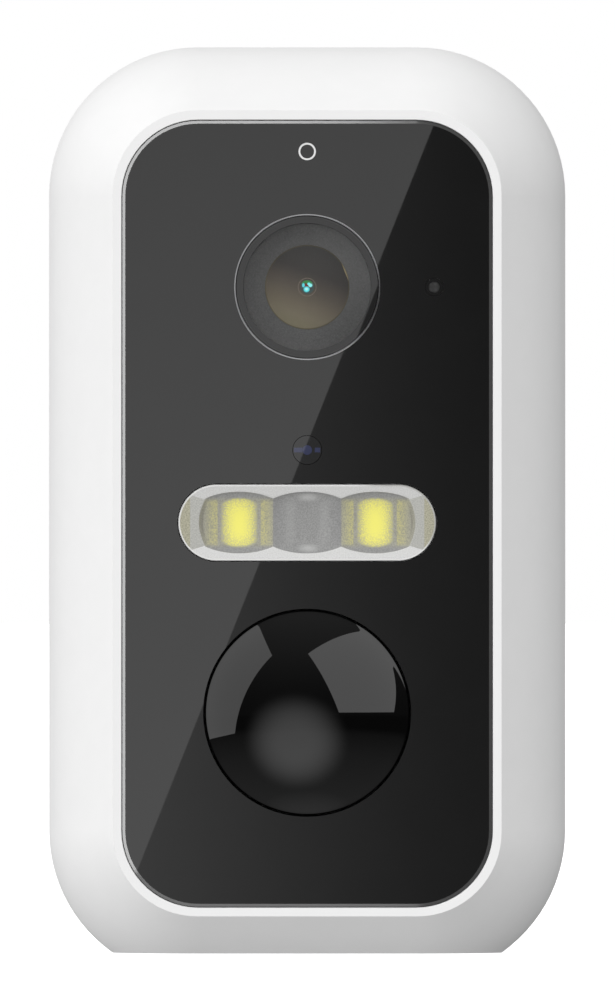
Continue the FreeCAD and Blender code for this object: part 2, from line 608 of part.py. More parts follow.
def ir_cut_module():
    """Two filter glasses on a slider, moved across the lens by a small magnet with an arm."""
    plate = box("cut_plate", 0, -10.95, camera_z - 7.3, 20.8, 0.8, 14.6)
    tongue = box("cut_tongue", 0, -10.95, camera_z - 16.0, 8.4, 0.8, 9.0)
    upper_rail = box("cut_upper_rail", 0, -10.3, camera_z + 3.75, 20.8, 1.1, 0.8)
    lower_rail = box("cut_lower_rail", 0, -10.3, camera_z - 7.2, 20.8, 1.1, 0.75)
    axle = rod("cut_axle", "Y", 0, -10.4, pivot_z, 0.5, 3.9)
    aperture = rod("cut_aperture", "Y", 0, -12, camera_z, 2.9, 3)
    base = fuse("cut_base_blank", plate, tongue, upper_rail, lower_rail, axle)
    cut("ir_cut_base", base, aperture)

    frame = box("slider_frame", 0, -10.05, camera_z - 6.3, 13.2, 0.8, 9.9)
    gaps = []
    for side, x in (("left", -3.0), ("right", 3.0)):
        gaps.append(box("slider_gap_" + side, x, -11, camera_z - 2.4, 4.8, 3, 4.8))
        gaps.append(box("slider_seat_" + side, x, -11, camera_z - 2.8, 5.6, 1.45, 5.6))
    slot = box("slider_slot", 0, -11, camera_z - 5.8, 1.2, 3, 2.1)
    cut("ir_cut_slider", frame, slot, *gaps)
    box("infrared_filter", -3.0, -10.0, camera_z - 2.75, 5.5, 0.4, 5.5)
    box("clear_filter", 3.0, -10.0, camera_z - 2.75, 5.5, 0.4, 5.5)

    magnet = rod("rotor_magnet", "Y", 0, -8.9, pivot_z, 2.2, 2.5)
    arm = box("rotor_arm", 0, -8.9, pivot_z, 1.8, 0.6, 7.1)
    tip = rod("rotor_tip", "Y", 0, -8.9, pivot_z + 7.1, 0.9, 0.6)
    pin = rod("rotor_pin", "Y", 0, -9.95, pivot_z + 7.1, 0.45, 1.2)
    bore = rod("rotor_bore", "Y", 0, -9.5, pivot_z, 0.56, 4)
    cut("ir_cut_rotor", fuse("rotor_blank", magnet, arm, tip, pin), bore)
    ring = rod("coil_ring", "Y", 0, -10.15, pivot_z, 3.9, 3.7)
    core = rod("coil_core", "Y", 0, -11, pivot_z, 2.6, 6)
    upper = box("coil_upper", 0, -11, pivot_z - 0.3, 10, 6, 5)
    cut("ir_cut_coil", ring, core, upper)


# ---------------------------------------------------------------- floodlight and motion sensor

flood_board_y = size("flood_board_y", -18.4)
pir_board_y = size("pir_board_y", -16.2)


def floodlight():
    """The frosted window with its three lens lobes, the reflector behind it, and the LEDs."""
    pill = slab("flood_pill", 0, flood_z - pill_half_height, flood_z + pill_half_height, pill_half_width,
                pill_half_height - 0.01, panel_y + 0.1, 1.9)
    lobes = []
    for number, x in enumerate((-led_pitch / 2, 0.0, led_pitch / 2)):
        lobe = doc.addObject("Part::Ellipsoid", "flood_lobe_" + letter(number))
        bind(lobe, "Radius1", "lobe_high_" + letter(number), 3.3)
        bind(lobe, "Radius2", "lobe_wide_" + letter(number), 4.6)
        bind(lobe, "Radius3", "lobe_deep_" + letter(number), 1.6)
        put(lobe, "flood_lobe_" + letter(number), x, panel_y + 2.0, flood_z)
        lobes.append(lobe)
    fuse("floodlight_lens", pill, *lobes)
    reflector_y = panel_y + 2.05
    ring = slab("reflector_outer", 0, flood_z - 4.5, flood_z + 4.5, 14.2, 4.49, reflector_y,
                flood_board_y - reflector_y)
    bore = slab("reflector_inner", 0, flood_z - 3.5, flood_z + 3.5, 13.2, 3.49, reflector_y - 1,
                flood_board_y - reflector_y + 2)
    cut("floodlight_reflector", ring, bore)
    led_side, led_thick = 3.5, 0.9
    leds = []
    for side, x in (("left", -led_pitch / 2), ("right", led_pitch / 2)):
        leds.append(box("led_" + side, x, flood_board_y - led_thick, flood_z - led_side / 2,
                        led_side, led_thick, led_side))
    group("floodlight_leds", *leds)
    slab("floodlight_board", 0, flood_z - 6.1, 56.5, 15.0, 1.0, flood_board_y, 1.4)


def domed_rod(name, y, z, radius, cap_height, length):
    """A round bar that faces the front and ends there in a cap cut from a ball."""
    ball_radius = (radius ** 2 + cap_height ** 2) / (2 * cap_height)
    ball = doc.addObject("Part::Sphere", name + "_ball")
    bind(ball, "Radius", name + "_ball_radius", ball_radius)
    put(ball, name + "_ball", 0, y + ball_radius, z)
    bar = rod(name + "_bar", "Y", 0, y - 1, z, radius, length + 1)
    item = doc.addObject("Part::MultiCommon", name)
    item.Shapes = [ball, bar]
    return item


def motion_sensor():
    cap_height = panel_y + rear_y
    tube_end = web_back_y + 0.5
    outer = domed_rod("dome_outside", -rear_y, motion_z, dome_radius, cap_height,
                      tube_end + flange_thick + rear_y)
    flange = rod("dome_flange", "Y", 0, tube_end, motion_z, flange_radius, flange_thick)
    inner = domed_rod("dome_inside", dome_skin - rear_y, motion_z, dome_radius - dome_skin,
                      cap_height - dome_skin, tube_end + flange_thick + rear_y)
    cut("pir_dome", fuse("dome_solid", outer, flange), inner)
    seal_radius, seal_thick = 11.0, 0.5
    turned("pir_seal", "Y", 0, web_back_y, motion_z, [
        (seal_radius, 0), (flange_radius, 0), (flange_radius, seal_thick), (seal_radius, seal_thick)])
    holder_long = pir_board_y - web_back_y - 1.3
    turned("pir_holder", "Y", 0, web_back_y + 1.3, motion_z, [
        (9.9, 0), (flange_radius, 0), (flange_radius, holder_long), (9.9, holder_long)])
    turned("pir_sensor", "Y", 0, pir_board_y - 4.2, motion_z, [
        (0, 0), (3.8, 0), (4.1, 0.3), (4.1, 3.6), (4.6, 3.6), (4.6, 4.2), (0, 4.2)])
    slab("pir_board", 0, motion_z - 11.5, motion_z + 11.5, 11.5, 2.0, pir_board_y, 1.0)


# ---------------------------------------------------------------- chassis, boards, battery, speaker

board_places = [(-17.5, 33.0), (17.5, 33.0), (-17.5, 66.0), (17.5, 66.0)]
frame_low = size("frame_low", 14.5)
frame_top = size("frame_top", 88.0)
cell_radius = size("cell_radius", 9.1)
cell_long = size("cell_long", 64.0)
cell_pitch = size("cell_pitch", 18.4)


def chassis():
    plate = slab("chassis_plate", 0, frame_low, frame_top, 20.0, 8.0, chassis_y, chassis_thick)
    openings = [
        box("chassis_lens_gate", 0, chassis_y - 1, camera_z - 10, 24.4, 4, 20),
        box("chassis_tongue_gate", 0, chassis_y - 1, camera_z - 17, 10.4, 4, 9),
        rod("chassis_light_hole", "Y", 0, chassis_y - 1, status_z, 1.5, 4),
        rod("chassis_cable_hole", "Y", 0, chassis_y - 1, motion_z, 5.0, 4),
    ]
    openings += pairs("chassis_hole", lambda n, x, z: rod(n, "Y", x, chassis_y - 1, z, 1.35, 4), post_places)
    stands = pairs("board_stand", lambda n, x, z: rod(n, "Y", x, chassis_y + 1, z, 2.2, 5.4), board_places)
    pilots = pairs("board_pilot", lambda n, x, z: rod(n, "Y", x, chassis_y + 1.6, z, 1.02, 6), board_places)
    cut("chassis", fuse("chassis_blank", plate, *stands), *openings, *pilots)


def main_board():
    board = slab("board_blank", 0, frame_low, frame_top, 21.0, 8.0, -2.6, 1.6)
    holes = pairs("board_hole", lambda n, x, z: rod(n, "Y", x, -4, z, 1.1, 5), board_places)
    cut("main_board", board, *holes)
    slab("shield_can", 0, 30.0, 50.0, 11.0, 1.0, -5.0, 2.4)
    box("wifi_antenna", 0, -12.0, body_top - wall - 0.25, 20.0, 16.0, 0.2)


def battery():
    """Two round lithium cells side by side in a tray with a trough for each."""
    cell_y = 10.9
    low = 23.5
    cap_radius, cap_long = 3.0, 1.0
    cells = []
    troughs = []
    for side, x in (("left", -cell_pitch / 2), ("right", cell_pitch / 2)):
        can = rod("cell_can_" + side, "Z", x, cell_y, low, cell_radius, cell_long)
        cap = rod("cell_cap_" + side, "Z", x, cell_y, low + cell_long, cap_radius, cap_long)
        cells.append(fuse("cell_" + side, can, cap))
        troughs.append(rod("tray_trough_" + side, "Z", x, cell_y, low - 0.1, cell_radius + 0.15,
                           cell_long + cap_long + 0.3))
    group("battery_cells", *cells)
    cut("battery_tray", box("tray_block", 0, 0.7, low - 1.2, 38.8, 8.3, 67.4), *troughs)


def speaker():
    base = wall + 0.05
    turned("speaker_frame", "Z", 0, speaker_y, base, [
        (10.4, 0), (12.0, 0), (12.0, 4.4), (6.6, 4.4), (6.6, 3.6), (10.4, 3.6)])
    turned("speaker_cone", "Z", 0, speaker_y, base, [
        (0, 1.5), (9.9, 0.7), (9.9, 1.1), (0, 1.9)])
    turned("speaker_magnet", "Z", 0, speaker_y, base, [
        (0, 2.6), (5.4, 2.6), (6.58, 3.4), (6.58, 5.2), (0, 5.2)])


# ---------------------------------------------------------------- build and write

front_housing()
rear_housing()
housing_seal()
fasteners()
port_cover()
mount_insert()
buttons()
sockets()
front_panel()
panel_inserts()
lens_stack()
lens_holder()
ir_cut_module()
floodlight()
motion_sensor()
chassis()
main_board()
battery()
speaker()
doc.recompute()

NODES = """
front_housing rear_housing housing_seal housing_screws screw_plugs chassis_screws board_screws
port_cover port_cover_pin mount_insert power_button power_switch button_board reset_button reset_switch
io_board usb_socket microsd_socket front_panel panel_tape status_light_pipe status_light_core status_led
mic_port mic_boot microphone ambient_window light_sensor lens_ring lens_window lens_barrel
lens_front_element lens_rear_element lens_holder sensor_board image_sensor ir_cut_base ir_cut_slider
infrared_filter clear_filter ir_cut_rotor ir_cut_coil floodlight_lens floodlight_reflector
floodlight_leds floodlight_board pir_dome pir_seal pir_holder pir_sensor pir_board chassis main_board
shield_can wifi_antenna battery_cells battery_tray speaker_frame speaker_cone speaker_magnet
""".split()

for item in doc.Objects:
    if "Invalid" in item.State or "Error" in item.State:
        raise RuntimeError("%s did not rebuild: %s" % (item.Name, item.State))

os.makedirs("parts", exist_ok=True)
for name in NODES:
    piece = doc.getObject(name)
    shape = piece.Shape
    if shape.isNull() or not shape.isValid() or not shape.Solids:
        raise RuntimeError("%s has no valid solid" % name)
    shape.exportStep(os.path.join("parts", name + ".step"))
    print(name, len(shape.Solids), "%.1f" % shape.Volume, shape.BoundBox)
print(len(NODES), "nodes")
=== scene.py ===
"""Looks of the floodlight security camera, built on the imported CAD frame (metres, front faces -Y)."""
import json
import math
from collections import namedtuple

import bmesh
import bpy
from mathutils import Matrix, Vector


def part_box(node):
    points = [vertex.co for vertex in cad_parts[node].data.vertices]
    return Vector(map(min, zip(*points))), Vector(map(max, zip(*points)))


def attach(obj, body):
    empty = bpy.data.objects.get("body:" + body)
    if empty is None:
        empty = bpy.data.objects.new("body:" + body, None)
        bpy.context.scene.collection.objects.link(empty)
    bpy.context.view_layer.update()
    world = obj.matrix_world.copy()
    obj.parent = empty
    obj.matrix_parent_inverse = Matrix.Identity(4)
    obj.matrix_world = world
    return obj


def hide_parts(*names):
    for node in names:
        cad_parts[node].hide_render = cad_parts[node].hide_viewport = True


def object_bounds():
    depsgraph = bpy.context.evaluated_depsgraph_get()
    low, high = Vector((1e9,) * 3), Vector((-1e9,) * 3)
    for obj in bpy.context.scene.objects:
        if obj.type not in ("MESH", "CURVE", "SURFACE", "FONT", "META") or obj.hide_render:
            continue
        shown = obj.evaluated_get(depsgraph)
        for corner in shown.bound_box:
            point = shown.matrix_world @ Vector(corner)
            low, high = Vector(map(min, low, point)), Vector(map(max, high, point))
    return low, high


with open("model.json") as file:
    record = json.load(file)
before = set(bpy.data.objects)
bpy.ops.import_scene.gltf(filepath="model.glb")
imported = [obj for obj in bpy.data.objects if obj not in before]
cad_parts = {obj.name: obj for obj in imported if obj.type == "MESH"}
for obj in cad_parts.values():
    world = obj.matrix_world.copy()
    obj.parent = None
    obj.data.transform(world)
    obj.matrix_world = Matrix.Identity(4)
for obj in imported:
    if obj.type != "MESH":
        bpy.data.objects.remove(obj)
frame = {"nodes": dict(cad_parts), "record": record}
cad_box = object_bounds()
scene = bpy.context.scene
low, high = (Vector(corner) for corner in cad_box)

Box = namedtuple("Box", "low high mid")


def node_box(name):
    """Lowest corner, highest corner and middle of a CAD node."""
    start, end = (Vector(corner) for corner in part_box(name))
    return Box(start, end, (start + end) / 2)


PANEL = node_box("front_panel")
RING = node_box("lens_ring")
WINDOW = node_box("lens_window")
BARREL = node_box("lens_barrel")
GLASS = node_box("lens_front_element")
FLOOD = node_box("floodlight_lens")
LEDS = node_box("floodlight_leds")
DOME = node_box("pir_dome")
SENSOR = node_box("ambient_window")
MIC = node_box("mic_port")

PANEL_Y = PANEL.low.y                          # front face of the panel
PANEL_EDGE_WIDE = 0.00030                      # ground slant round the panel, across the front
PANEL_EDGE_DEEP = 0.00010                      # and in depth
PANEL_CORNER = 0.00804                         # corner radius of the panel
PANEL_HOLE_RADIUS = 0.01100                    # round opening for the motion-sensor dome


# ---------------------------------------------------------------- shader helpers

def material(name):
    """A new node material and its Principled shader."""
    made = bpy.data.materials.new(name)
    made.use_nodes = True
    return made, made.node_tree.nodes["Principled BSDF"]


def set_inputs(item, settings):
    """Set sockets by name, with the blanks of their names written as underscores."""
    for key, value in settings.items():
        item.inputs[key.replace("_", " ")].default_value = value
    return item


def node(made, kind, **settings):
    """A new node of a kind, with its sockets set."""
    return set_inputs(made.node_tree.nodes.new(kind), settings)


def link(made, start, end):
    made.node_tree.links.new(start, end)


def place(made, origin=None, stretch=(1, 1, 1)):
    """Object coordinates, moved so that origin is zero, then stretched."""
    mapping = node(made, "ShaderNodeMapping")
    shift = Vector(origin) if origin else Vector()
    mapping.inputs["Location"].default_value = [-s * k for s, k in zip(shift, stretch)]
    mapping.inputs["Scale"].default_value = stretch
    coordinates = node(made, "ShaderNodeTexCoord")
    link(made, coordinates.outputs["Object"], mapping.inputs["Vector"])
    return mapping.outputs["Vector"]


def noise(made, scale, detail=3.0, stretch=(1, 1, 1)):
    """A cloudy pattern from 0 to 1."""
    item = node(made, "ShaderNodeTexNoise", Scale=scale, Detail=detail, Roughness=0.55)
    link(made, place(made, stretch=stretch), item.inputs["Vector"])
    return item.outputs["Fac"]


def math_node(made, operation, first, second=None):
    """One sum; each side is a socket or a number."""
    item = made.node_tree.nodes.new("ShaderNodeMath")
    item.operation = operation
    for socket, value in zip(item.inputs, (first, second)):
        if isinstance(value, (int, float)):
            socket.default_value = value
        elif value is not None:
            link(made, value, socket)
    return item.outputs[0]


def step_mask(made, source, start, end):
    """0 up to start and 1 from end on, smooth between them; start may also lie above end."""
    item = node(made, "ShaderNodeMapRange", From_Min=start, From_Max=end)
    item.interpolation_type = "SMOOTHSTEP"
    link(made, source, item.inputs["Value"])
    return item.outputs["Result"]


def band(made, source, rising, falling):
    """1 between a rising and a falling soft edge, each given as (0 at, 1 at)."""
    return product(made, step_mask(made, source, *rising), step_mask(made, source, *falling))


def product(made, first, *others):
    """Several sockets or numbers multiplied together."""
    for other in others:
        first = math_node(made, "MULTIPLY", first, other)
    return first


def length(made, first, second):
    """Length of the hypotenuse over two sockets."""
    squares = math_node(made, "ADD", product(made, first, first), product(made, second, second))
    return math_node(made, "SQRT", squares)


def choose(made, factor, off_value, on_value):
    """off_value where the factor is 0 and on_value where it is 1."""
    off = product(made, math_node(made, "SUBTRACT", 1.0, factor), off_value)
    return math_node(made, "ADD", product(made, factor, on_value), off)


def from_middle(made, middle, stretch):
    """Distance from a point, measured after stretching the axes."""
    item = node(made, "ShaderNodeVectorMath")
    item.operation = "LENGTH"
    link(made, place(made, middle, stretch), item.inputs[0])
    return item.outputs["Value"]


def radial(made, middle, radius):
    """0 on the axis and 1 at the radius, measured across the front."""
    return from_middle(made, middle, (1 / radius, 0, 1 / radius))


def disc_mask(made, middle, half_wide, half_high, soft=0.15):
    """1 inside an ellipse on the front, 0 outside it."""
    away = from_middle(made, middle, (1 / half_wide, 0, 1 / half_high))
    edge = node(made, "ShaderNodeMapRange", From_Min=1 - soft, From_Max=1 + soft, To_Min=1.0, To_Max=0.0)
    edge.interpolation_type = "SMOOTHSTEP"
    link(made, away, edge.inputs["Value"])
    return edge.outputs["Result"]


def slope(made, middle, direction, reach):
    """0 to 1 across the front along a direction, over plus and minus a reach."""
    item = node(made, "ShaderNodeVectorMath")
    item.operation = "DOT_PRODUCT"
    link(made, place(made, middle), item.inputs[0])
    item.inputs[1].default_value = Vector(direction).normalized() / (2 * reach)
    return math_node(made, "ADD", item.outputs["Value"], 0.5)


def spread(made, source, low_value, high_value):
    """Map the middle of a 0 to 1 pattern onto a narrow range."""
    item = node(made, "ShaderNodeMapRange", From_Min=0.3, From_Max=0.7, To_Min=low_value, To_Max=high_value)
    link(made, source, item.inputs["Value"])
    return item.outputs["Result"]


def ramp(made, source, *stops):
    """A colour ramp with (position, colour) stops."""
    item = made.node_tree.nodes.new("ShaderNodeValToRGB")
    elements = item.color_ramp.elements
    while len(elements) < len(stops):
        elements.new(0.5)
    for element, (position, colour) in zip(elements, stops):
        element.position = position
        element.color = (*colour, 1)
    link(made, source, item.inputs["Fac"])
    return item.outputs["Color"]


def mix(made, factor, first, second):
    """Blend two colours; each is a socket or a fixed colour."""
    item = made.node_tree.nodes.new("ShaderNodeMix")
    item.data_type = "RGBA"
    link(made, factor, item.inputs["Factor"])
    for socket, value in ((item.inputs[6], first), (item.inputs[7], second)):
        if isinstance(value, tuple):
            socket.default_value = (*value, 1)
        else:
            link(made, value, socket)
    return item.outputs[2]


def bump(made, shader, source, height):
    """Fine relief of a height in metres."""
    item = node(made, "ShaderNodeBump", Strength=1.0, Distance=height)
    link(made, source, item.inputs["Height"])
    link(made, item.outputs["Normal"], shader.inputs["Normal"])


def tinted(colour, share):
    """A colour made lighter or darker by a share."""
    return tuple(channel * share for channel in colour)


def moulded(name, colour, rough, grain=4500, grain_height=2e-6, variation=0.03, **settings):
    """A moulded, painted or rubbery surface: slight tone variation, uneven gloss, fine grain."""
    made, shader = material(name)
    cloud = noise(made, grain * 0.05)
    tone = ramp(made, cloud, (0.35, tinted(colour, 1 - variation)), (0.65, tinted(colour, 1 + variation)))
    link(made, tone, shader.inputs["Base Color"])
    fine = noise(made, grain)
    link(made, spread(made, fine, rough * 0.92, rough * 1.08), shader.inputs["Roughness"])
    bump(made, shader, fine, grain_height)
    set_inputs(shader, settings)
    return made


def metal(name, colour, rough, stretch=(1, 1, 1), grain=3000, grain_height=1.5e-6):
    """Bare or plated metal with tool marks drawn out along one direction."""
    made, shader = material(name)
    marks = noise(made, grain, 4.0, stretch)
    tone = ramp(made, marks, (0.3, tinted(colour, 0.86)), (0.7, tinted(colour, 1.06)))
    link(made, tone, shader.inputs["Base Color"])
    link(made, spread(made, marks, rough * 0.8, rough * 1.25), shader.inputs["Roughness"])
    bump(made, shader, marks, grain_height)
    set_inputs(shader, {"Metallic": 1.0})
    return made


def circuit_board(name, mask_colour, track_colour):
    """Solder mask with the tracks under it showing as raised, lighter lines."""
    made, shader = material(name)
    bricks = node(made, "ShaderNodeTexBrick", Scale=420.0, Mortar_Size=0.012, Mortar_Smooth=0.3)
    link(made, place(made, stretch=(1, 1, 0.7)), bricks.inputs["Vector"])
    cloud = noise(made, 300)
    lines = math_node(made, "MULTIPLY", bricks.outputs["Fac"], cloud)
    link(made, mix(made, lines, mask_colour, track_colour), shader.inputs["Base Color"])
    link(made, spread(made, cloud, 0.3, 0.42), shader.inputs["Roughness"])
    bump(made, shader, lines, 2e-5)
    return made


def banded(name, colour, rough, spacing, height, metallic=0.0):
    """Windings or ribs: fine parallel bands."""
    made, shader = material(name)
    wave = node(made, "ShaderNodeTexWave", Scale=1 / (spacing * 20), Distortion=0.4, Detail=1.0)
    wave.bands_direction = "DIAGONAL"
    link(made, place(made), wave.inputs["Vector"])
    tone = ramp(made, wave.outputs["Fac"], (0.1, tinted(colour, 0.6)), (0.9, tinted(colour, 1.1)))
    link(made, tone, shader.inputs["Base Color"])
    link(made, spread(made, wave.outputs["Fac"], rough, rough * 1.2), shader.inputs["Roughness"])
    bump(made, shader, wave.outputs["Fac"], height)
    set_inputs(shader, {"Metallic": metallic})
    return made


def polished(name, colour, rough, haze, **settings):
    """A polished surface with the faintest haze and orange peel."""
    made, shader = material(name)
    cloud = noise(made, 180)
    tone = ramp(made, cloud, (0.3, tinted(colour, 0.93)), (0.7, tinted(colour, 1.07)))
    link(made, tone, shader.inputs["Base Color"])
    link(made, spread(made, noise(made, 700), rough, rough + haze), shader.inputs["Roughness"])
    set_inputs(shader, settings)
    return made


# ---------------------------------------------------------------- materials of the record's slots

WHITE = (0.868, 0.868, 0.868)

SLOTS = {
    "white_plastic": lambda: moulded("white_plastic", WHITE, 0.46, 7000, 2.2e-6, 0.006),
    "white_silicone": lambda: moulded("white_silicone", (0.84, 0.84, 0.83), 0.7, 3000, 3e-6, 0.01),
    "seal_rubber": lambda: moulded("seal_rubber", (0.06, 0.06, 0.06), 0.75, 3000, 4e-6, 0.1),
    "screw_steel": lambda: metal("screw_steel", (0.62, 0.62, 0.63), 0.3),
    "pin_steel": lambda: metal("pin_steel", (0.68, 0.68, 0.69), 0.25, (0.05, 1, 1)),
    "insert_brass": lambda: metal("insert_brass", (0.78, 0.60, 0.30), 0.28, (1, 0.1, 1)),
    "button_plastic": lambda: moulded("button_plastic", (0.74, 0.74, 0.75), 0.4, 6000, 2e-6, 0.01),
    "reset_plastic": lambda: moulded("reset_plastic", (0.12, 0.12, 0.13), 0.3),
    "panel_black": lambda: polished("panel_black", (0.0068, 0.0068, 0.0068), 0.005, 0.004),
    "adhesive_tape": lambda: moulded("adhesive_tape", (0.05, 0.05, 0.05), 0.8, 2500, 6e-6, 0.15),
    "dome_black": lambda: polished("dome_black", (0.0022, 0.0022, 0.0022), 0.015, 0.01),
    "lens_clear": lambda: polished("lens_clear", (0.06, 0.05, 0.05), 0.03, 0.02, Coat_Weight=0.6),
    "window_clear": lambda: polished("window_clear", (0.45, 0.45, 0.45), 0.03, 0.02, Alpha=0.03),
    "ring_metal": lambda: metal("ring_metal", (0.50, 0.50, 0.51), 0.25, (1, 0.2, 1)),
    "barrel_black": lambda: moulded("barrel_black", (0.075, 0.075, 0.075), 0.5, 5000, 8e-6, 0.06),
    "sensor_silicon": lambda: polished("sensor_silicon", (0.04, 0.05, 0.08), 0.05, 0.03),
    "sensor_window": lambda: polished("sensor_window", (0.0105, 0.0105, 0.0110), 0.005, 0.004),
    "sensor_chip": lambda: polished("sensor_chip", (0.026, 0.031, 0.075), 0.006, 0.004),
    "light_pipe": lambda: moulded("status_pipe", (0.80, 0.80, 0.80), 0.4, variation=0.02),
    "led_body": lambda: moulded("led_body", (0.85, 0.80, 0.25), 0.6, 5000, 3e-6, 0.05),
    "flood_lens": lambda: moulded("flood_lens_side", (0.62, 0.62, 0.60), 0.4),
    "reflector_white": lambda: moulded("reflector_white", (0.85, 0.85, 0.85), 0.3, 3000, 1e-6, 0.02),
    "circuit_board": lambda: circuit_board("circuit_board", (0.012, 0.09, 0.035), (0.05, 0.22, 0.10)),
    "aluminium_board": lambda: circuit_board("aluminium_board", (0.75, 0.75, 0.74), (0.6, 0.6, 0.58)),
    "mic_metal": lambda: metal("mic_metal", (0.62, 0.55, 0.38), 0.3),
    "can_metal": lambda: metal("can_metal", (0.60, 0.60, 0.60), 0.3, (1, 1, 0.1)),
    "antenna_film": lambda: circuit_board("antenna_film", (0.03, 0.03, 0.03), (0.35, 0.22, 0.10)),
    "switch_plastic": lambda: moulded("switch_plastic", (0.06, 0.06, 0.06), 0.5),
    "rotor_magnet": lambda: moulded("rotor_magnet", (0.10, 0.10, 0.11), 0.45, 2500, 4e-6, 0.1),
    "coil_copper": lambda: banded("coil_copper", (0.62, 0.26, 0.10), 0.3, 0.00012, 3e-5, 0.8),
    "chassis_plastic": lambda: moulded("chassis_plastic", (0.04, 0.04, 0.042), 0.55, 3500, 5e-6, 0.08),
    "battery_wrap": lambda: polished("battery_wrap", (0.03, 0.16, 0.42), 0.22, 0.08),
    "cone_paper": lambda: banded("cone_paper", (0.035, 0.035, 0.035), 0.8, 0.0009, 4e-5),
}


def dress_cad_nodes():
    """Give every CAD node the material of its slot."""
    made = {slot: build() for slot, build in SLOTS.items()}
    for part in frame["record"]["subparts"]:
        mesh = frame["nodes"][part["node"]].data
        mesh.materials.clear()
        mesh.materials.append(made[part["material_slot"]])
    own_looks = {"lens_barrel": barrel_look(), "mic_port": made["panel_black"],
                 "status_light_core": made["panel_black"]}
    for name, look in own_looks.items():
        frame["nodes"][name].data.materials[0] = look
    return made


# ---------------------------------------------------------------- mesh helpers

def sharpen(form, limit=math.radians(32)):
    """Smooth shading, with creases kept where faces meet at more than the limit."""
    form.normal_update()
    for face in form.faces:
        face.smooth = True
    for edge in form.edges:
        if len(edge.link_faces) == 2:
            edge.smooth = edge.calc_face_angle(0) < limit


def add_piece(name, form, look, slot, *replaced):
    """Turn a bmesh into a piece that rides on the housing."""
    mesh = bpy.data.meshes.new(name)
    sharpen(form)
    form.to_mesh(mesh)
    form.free()
    item = bpy.data.objects.new(name, mesh)
    scene.collection.objects.link(item)
    mesh.materials.append(look)
    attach(item, "housing")
    if replaced:
        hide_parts(*replaced)


def lathe(profile, x, z, segments=128):
    """Turn (radius, depth) points round an axis that runs along Y."""
    form = bmesh.new()
    rings = []
    for radius, y in profile:
        if radius < 1e-9:
            rings.append([form.verts.new((x, y, z))])
            continue
        ring = []
        for step in range(segments):
            angle = 2 * math.pi * step / segments
            ring.append(form.verts.new((x + radius * math.cos(angle), y, z + radius * math.sin(angle))))
        rings.append(ring)
    for near, far in zip(rings, rings[1:]):
        for step in range(segments):
            after = (step + 1) % segments
            corners = [near[step % len(near)], near[after % len(near)],
                       far[after % len(far)], far[step % len(far)]]
            form.faces.new(list(dict.fromkeys(corners)))
    bmesh.ops.recalc_face_normals(form, faces=form.faces)
    return form


def cap_profile(ball, reach, tip, steps):
    """Lathe points over a ball-shaped cap, from its tip out to an angle."""
    points = []
    for step in range(steps + 1):
        angle = reach * step / steps
        points.append((ball * math.sin(angle), tip + ball * (1 - math.cos(angle))))
    return points


# ---------------------------------------------------------------- cut edge of the front panel

def rounded_outline(form, inset, y, steps=16):
    """A closed row of vertices along the panel's outline, drawn in by an inset."""
    radius = PANEL_CORNER - inset
    near_x = PANEL.high.x - PANEL.mid.x - PANEL_CORNER
    near_z = PANEL.high.z - PANEL.mid.z - PANEL_CORNER
    row = []
    for side_x, side_z, start in ((1, 1, 0), (-1, 1, 90), (-1, -1, 180), (1, -1, 270)):
        for step in range(steps + 1):
            angle = math.radians(start + 90 * step / steps)
            row.append(form.verts.new((PANEL.mid.x + side_x * near_x + radius * math.cos(angle), y,
                                       PANEL.mid.z + side_z * near_z + radius * math.sin(angle))))
    return row


def panel_edge():
    """The ground slant round the panel, which catches the studio as a thin silver line."""
    made, shader = material("ground_edge")
    marks = noise(made, 2500, 3.0)
    link(made, ramp(made, marks, (0.3, (0.030, 0.030, 0.030)), (0.7, (0.036, 0.036, 0.036))),
         shader.inputs["Base Color"])
    link(made, spread(made, marks, 0.10, 0.14), shader.inputs["Roughness"])
    form = bmesh.new()
    lift = 0.00001
    overhang = 0.00004
    steepness = PANEL_EDGE_DEEP / PANEL_EDGE_WIDE
    inner = rounded_outline(form, PANEL_EDGE_WIDE, PANEL_Y - lift)
    outer = rounded_outline(form, -overhang, PANEL_Y + PANEL_EDGE_DEEP + overhang * steepness - lift)
    for step in range(len(inner)):
        after = (step + 1) % len(inner)
        form.faces.new((inner[step], inner[after], outer[after], outer[step]))
    add_piece("panel_edge", form, made, "panel_black")


# ---------------------------------------------------------------- motion sensor dome

DOME_GAP = 0.00022                             # between the dome's foot and the panel's hole
DOME_FLARE = 0.00042                           # width of the flared foot
DOME_BALL = 0.01542                            # radius the cap is curved to
FLARE_START, FLARE_TURN = 42, 4                # slope of the foot in degrees, and how much it eases
DOME_WALL = 0.0007


def motion_dome(made):
    """The infrared-clear dome: a smooth cap that flares out into a narrow foot, and its tube."""
    radius = PANEL_HOLE_RADIUS - DOME_GAP
    cap_radius = radius - DOME_FLARE
    profile = cap_profile(DOME_BALL, math.asin(cap_radius / DOME_BALL), DOME.low.y, 48)
    steps = 6
    run = (radius - cap_radius) / steps
    for step in range(1, steps + 1):
        steepness = math.tan(math.radians(FLARE_START - FLARE_TURN * step / steps))
        profile.append((profile[-1][0] + run, profile[-1][1] + run * steepness))
    tube = radius + 0.00002
    profile += [(tube, profile[-1][1] + 0.00012), (tube, DOME.high.y), (radius - DOME_WALL, DOME.high.y)]
    add_piece("motion_dome", lathe(profile, DOME.mid.x, DOME.mid.z, 192), made["dome_black"],
              "dome_black", "pir_dome")


# ---------------------------------------------------------------- camera lens

